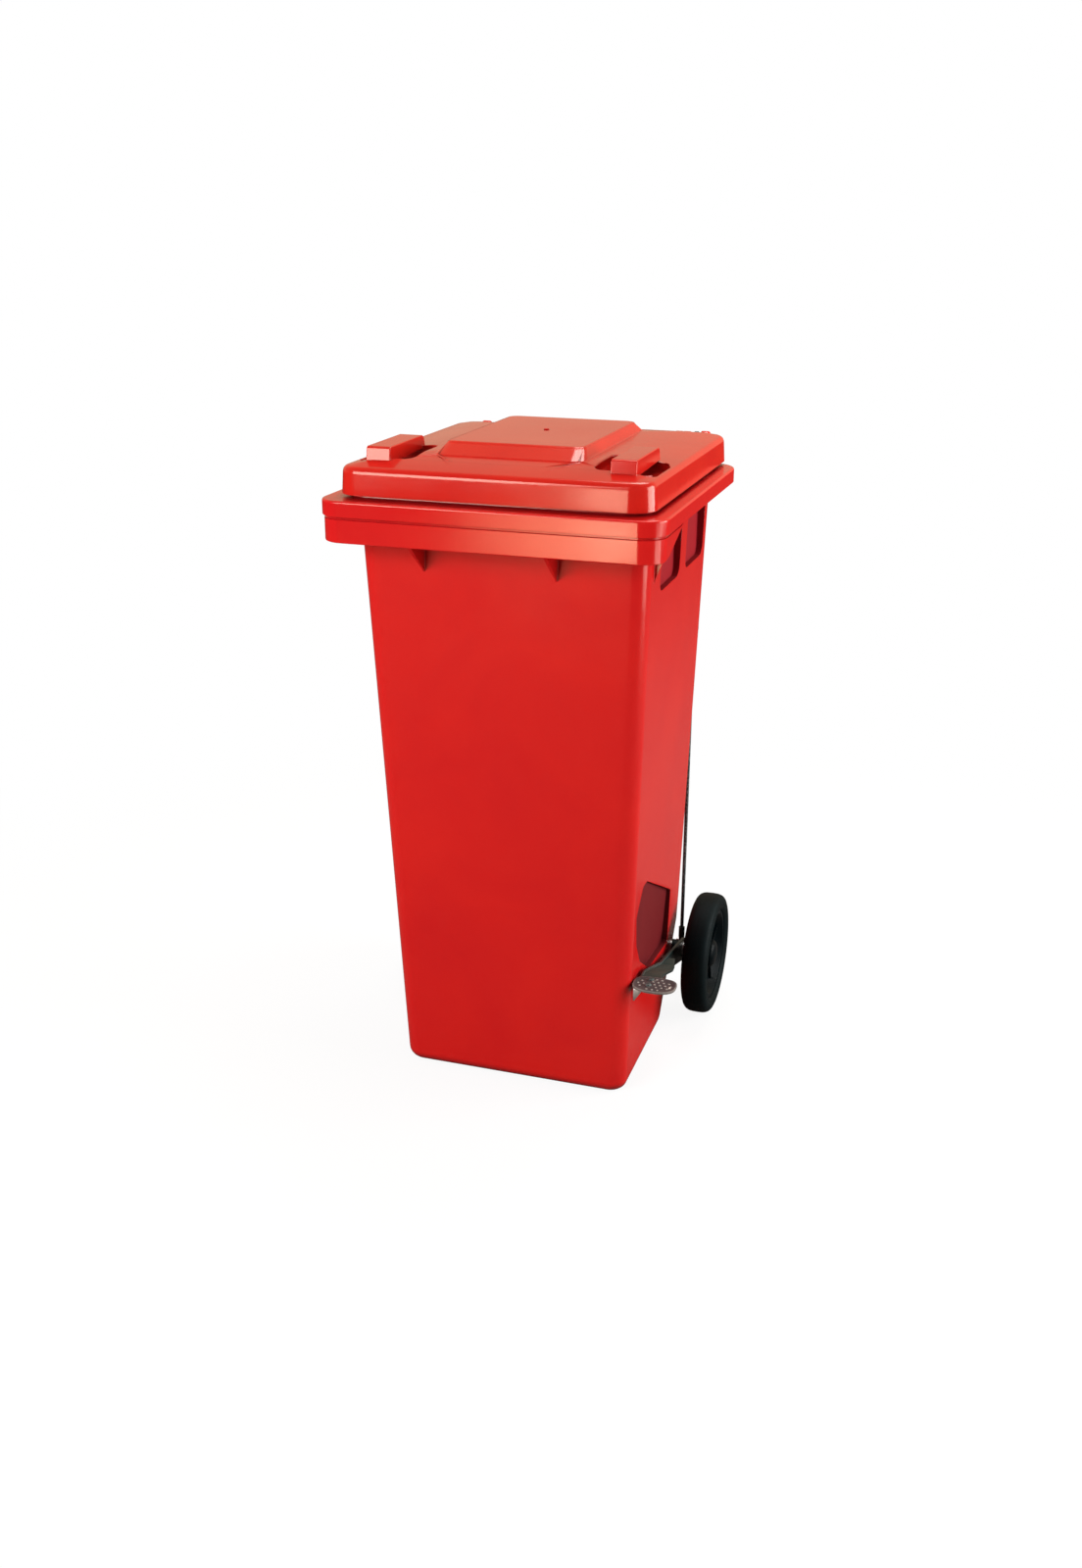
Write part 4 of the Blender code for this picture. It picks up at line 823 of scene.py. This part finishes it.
# ---------------------------------------------------------------- floor, light, camera
def make_floor():
    rings, faces, verts = [0.0, 0.6, 1.2, 2.0, 3.2, 5.0, 8.0, 14.0, 24.0], [], [(0, 0, 0)]
    n = 64
    for r in rings[1:]:
        verts += [(r * math.cos(2 * math.pi * i / n), r * math.sin(2 * math.pi * i / n), 0) for i in range(n)]
    for i in range(n):
        faces.append((0, 1 + i, 1 + (i + 1) % n))
    for k in range(len(rings) - 2):
        for i in range(n):
            j = (i + 1) % n
            faces.append((1 + k * n + i, 1 + (k + 1) * n + i, 1 + (k + 1) * n + j, 1 + k * n + j))
    ob = new_object("studio_floor", verts, faces)
    for p in ob.data.polygons:
        if p.normal.z < 0:
            p.flip()
    m = bpy.data.materials.new("studio_floor_paper")
    m.use_nodes = True
    nt = m.node_tree
    nt.nodes.clear()
    out = nt.nodes.new("ShaderNodeOutputMaterial")
    dif = nt.nodes.new("ShaderNodeBsdfDiffuse")
    dif.inputs[0].default_value = (0.93, 0.93, 0.93, 1.0)
    emi = nt.nodes.new("ShaderNodeEmission")
    emi.inputs[0].default_value = (1.0, 1.0, 1.0, 1.0)
    mixer = nt.nodes.new("ShaderNodeMixShader")
    tc = nt.nodes.new("ShaderNodeTexCoord")
    ln = nt.nodes.new("ShaderNodeVectorMath")
    ln.operation = "LENGTH"
    nt.links.new(tc.outputs["Object"], ln.inputs[0])
    mr = nt.nodes.new("ShaderNodeMapRange")
    mr.interpolation_type = "SMOOTHSTEP"
    nt.links.new(ln.outputs["Value"], mr.inputs[0])
    for i, v in zip((1, 2, 3, 4), (0.5, 1.7, 0.90, 1.0)):
        mr.inputs[i].default_value = v
    nt.links.new(mr.outputs[0], mixer.inputs[0])
    nt.links.new(dif.outputs[0], mixer.inputs[1])
    nt.links.new(emi.outputs[0], mixer.inputs[2])
    # the object is lit and mirrored by a darker floor than the one on show
    dark = nt.nodes.new("ShaderNodeBsdfDiffuse")
    dark.inputs[0].default_value = (0.16, 0.14, 0.13, 1.0)
    path = nt.nodes.new("ShaderNodeLightPath")
    pick = nt.nodes.new("ShaderNodeMixShader")
    nt.links.new(path.outputs["Is Camera Ray"], pick.inputs[0])
    nt.links.new(dark.outputs[0], pick.inputs[1])
    nt.links.new(mixer.outputs[0], pick.inputs[2])
    nt.links.new(pick.outputs[0], out.inputs[0])
    ob.data.materials.append(m)
    return ob


def area(name, place, aim, size_x, size_y, power, tint=(1.0, 1.0, 1.0)):
    d = bpy.data.lights.new(name, "AREA")
    d.shape = "RECTANGLE"
    d.size, d.size_y = size_x, size_y
    d.energy = power
    d.color = tint
    ob = bpy.data.objects.new(name, d)
    SCENE.collection.objects.link(ob)
    ob.location = place
    ob.rotation_mode = "QUATERNION"
    ob.rotation_quaternion = (Vector(aim) - Vector(place)).to_track_quat("-Z", "Y")
    ob.visible_camera = False
    return ob


make_floor()
area("softbox_right", (2.45, 0.55, 1.20), (0.1, 0.0, 0.55), 1.9, 1.5, 80.0)
area("softbox_top", (0.2, 0.9, 2.8), (0.0, 0.0, 0.6), 1.2, 1.2, 34.0)
area("softbox_front", (-1.55, -2.75, 1.70), (0.0, 0.0, 0.50), 1.7, 1.5, 106.0)
area("softbox_low", (-0.70, -3.2, 0.25), (0.05, -0.2, 0.87), 0.66, 0.44, 8.0, (1.0, 0.74, 0.50))
area("strip_low", (-0.375, -2.45, 0.43), (0.19, -0.25, 0.89), 0.07, 0.24, 1.4, (1.0, 0.86, 0.72))
area("softbox_lid", (-0.60, -3.2, 0.80), (0.1, -0.25, 0.93), 0.46, 0.30, 1.0, (1.0, 0.76, 0.54))
area("strip_lid", (-0.40, -2.45, 0.80), (0.19, -0.25, 0.93), 0.10, 0.24, 1.9, (1.0, 0.86, 0.72))
area("fill_low", (2.2, -0.3, 0.25), (0.1, 0.0, 0.2), 1.1, 0.5, 9.0)

world = bpy.data.worlds.new("studio_world")
world.use_nodes = True
wn = world.node_tree
wn.nodes.clear()
w_out = wn.nodes.new("ShaderNodeOutputWorld")
w_fill, w_seen, w_mix = wn.nodes.new("ShaderNodeBackground"), wn.nodes.new("ShaderNodeBackground"), wn.nodes.new("ShaderNodeMixShader")
w_seen.inputs[0].default_value, w_seen.inputs[1].default_value = (1.0, 1.0, 1.0, 1.0), 1.0
w_tc, w_xyz = wn.nodes.new("ShaderNodeTexCoord"), wn.nodes.new("ShaderNodeSeparateXYZ")
wn.links.new(w_tc.outputs["Generated"], w_xyz.inputs[0])
w_back = remap(wn, w_xyz.outputs["Y"], -0.45, 0.55, 0.0, 1.0)
w_col = mix(wn, w_back, (0.20, 0.195, 0.19, 1.0), (1.0, 0.74, 0.50, 1.0))
wn.links.new(w_col, w_fill.inputs[0])
w_fill.inputs[1].default_value = 0.62
w_path = wn.nodes.new("ShaderNodeLightPath")
wn.links.new(w_path.outputs["Is Camera Ray"], w_mix.inputs[0])
wn.links.new(w_fill.outputs[0], w_mix.inputs[1])
wn.links.new(w_seen.outputs[0], w_mix.inputs[2])
wn.links.new(w_mix.outputs[0], w_out.inputs[0])
SCENE.world = world
SCENE.view_settings.view_transform = "Standard"
SCENE.view_settings.look = "None"

cam_data = bpy.data.cameras.new("photo_camera")
cam_data.sensor_width = 36.0
cam_data.sensor_fit = "AUTO"
cam_data.lens = 36.0 * 1602.0 / 1600.0
cam = bpy.data.objects.new("photo_camera", cam_data)
SCENE.collection.objects.link(cam)
az, pitch, roll = math.radians(17.79), math.radians(20.60), math.radians(0.25)
fwd = Vector((-math.sin(az) * math.cos(pitch), math.cos(az) * math.cos(pitch), -math.sin(pitch)))
rgt = Vector((math.cos(az), math.sin(az), 0.0))
upv = rgt.cross(fwd)
r2 = math.cos(roll) * rgt + math.sin(roll) * upv
u2 = -math.sin(roll) * rgt + math.cos(roll) * upv
cam.matrix_world = Matrix(((r2.x, u2.x, -fwd.x, 0.690), (r2.y, u2.y, -fwd.y, -2.169), (r2.z, u2.z, -fwd.z, 1.285), (0, 0, 0, 1)))
SCENE.camera = cam
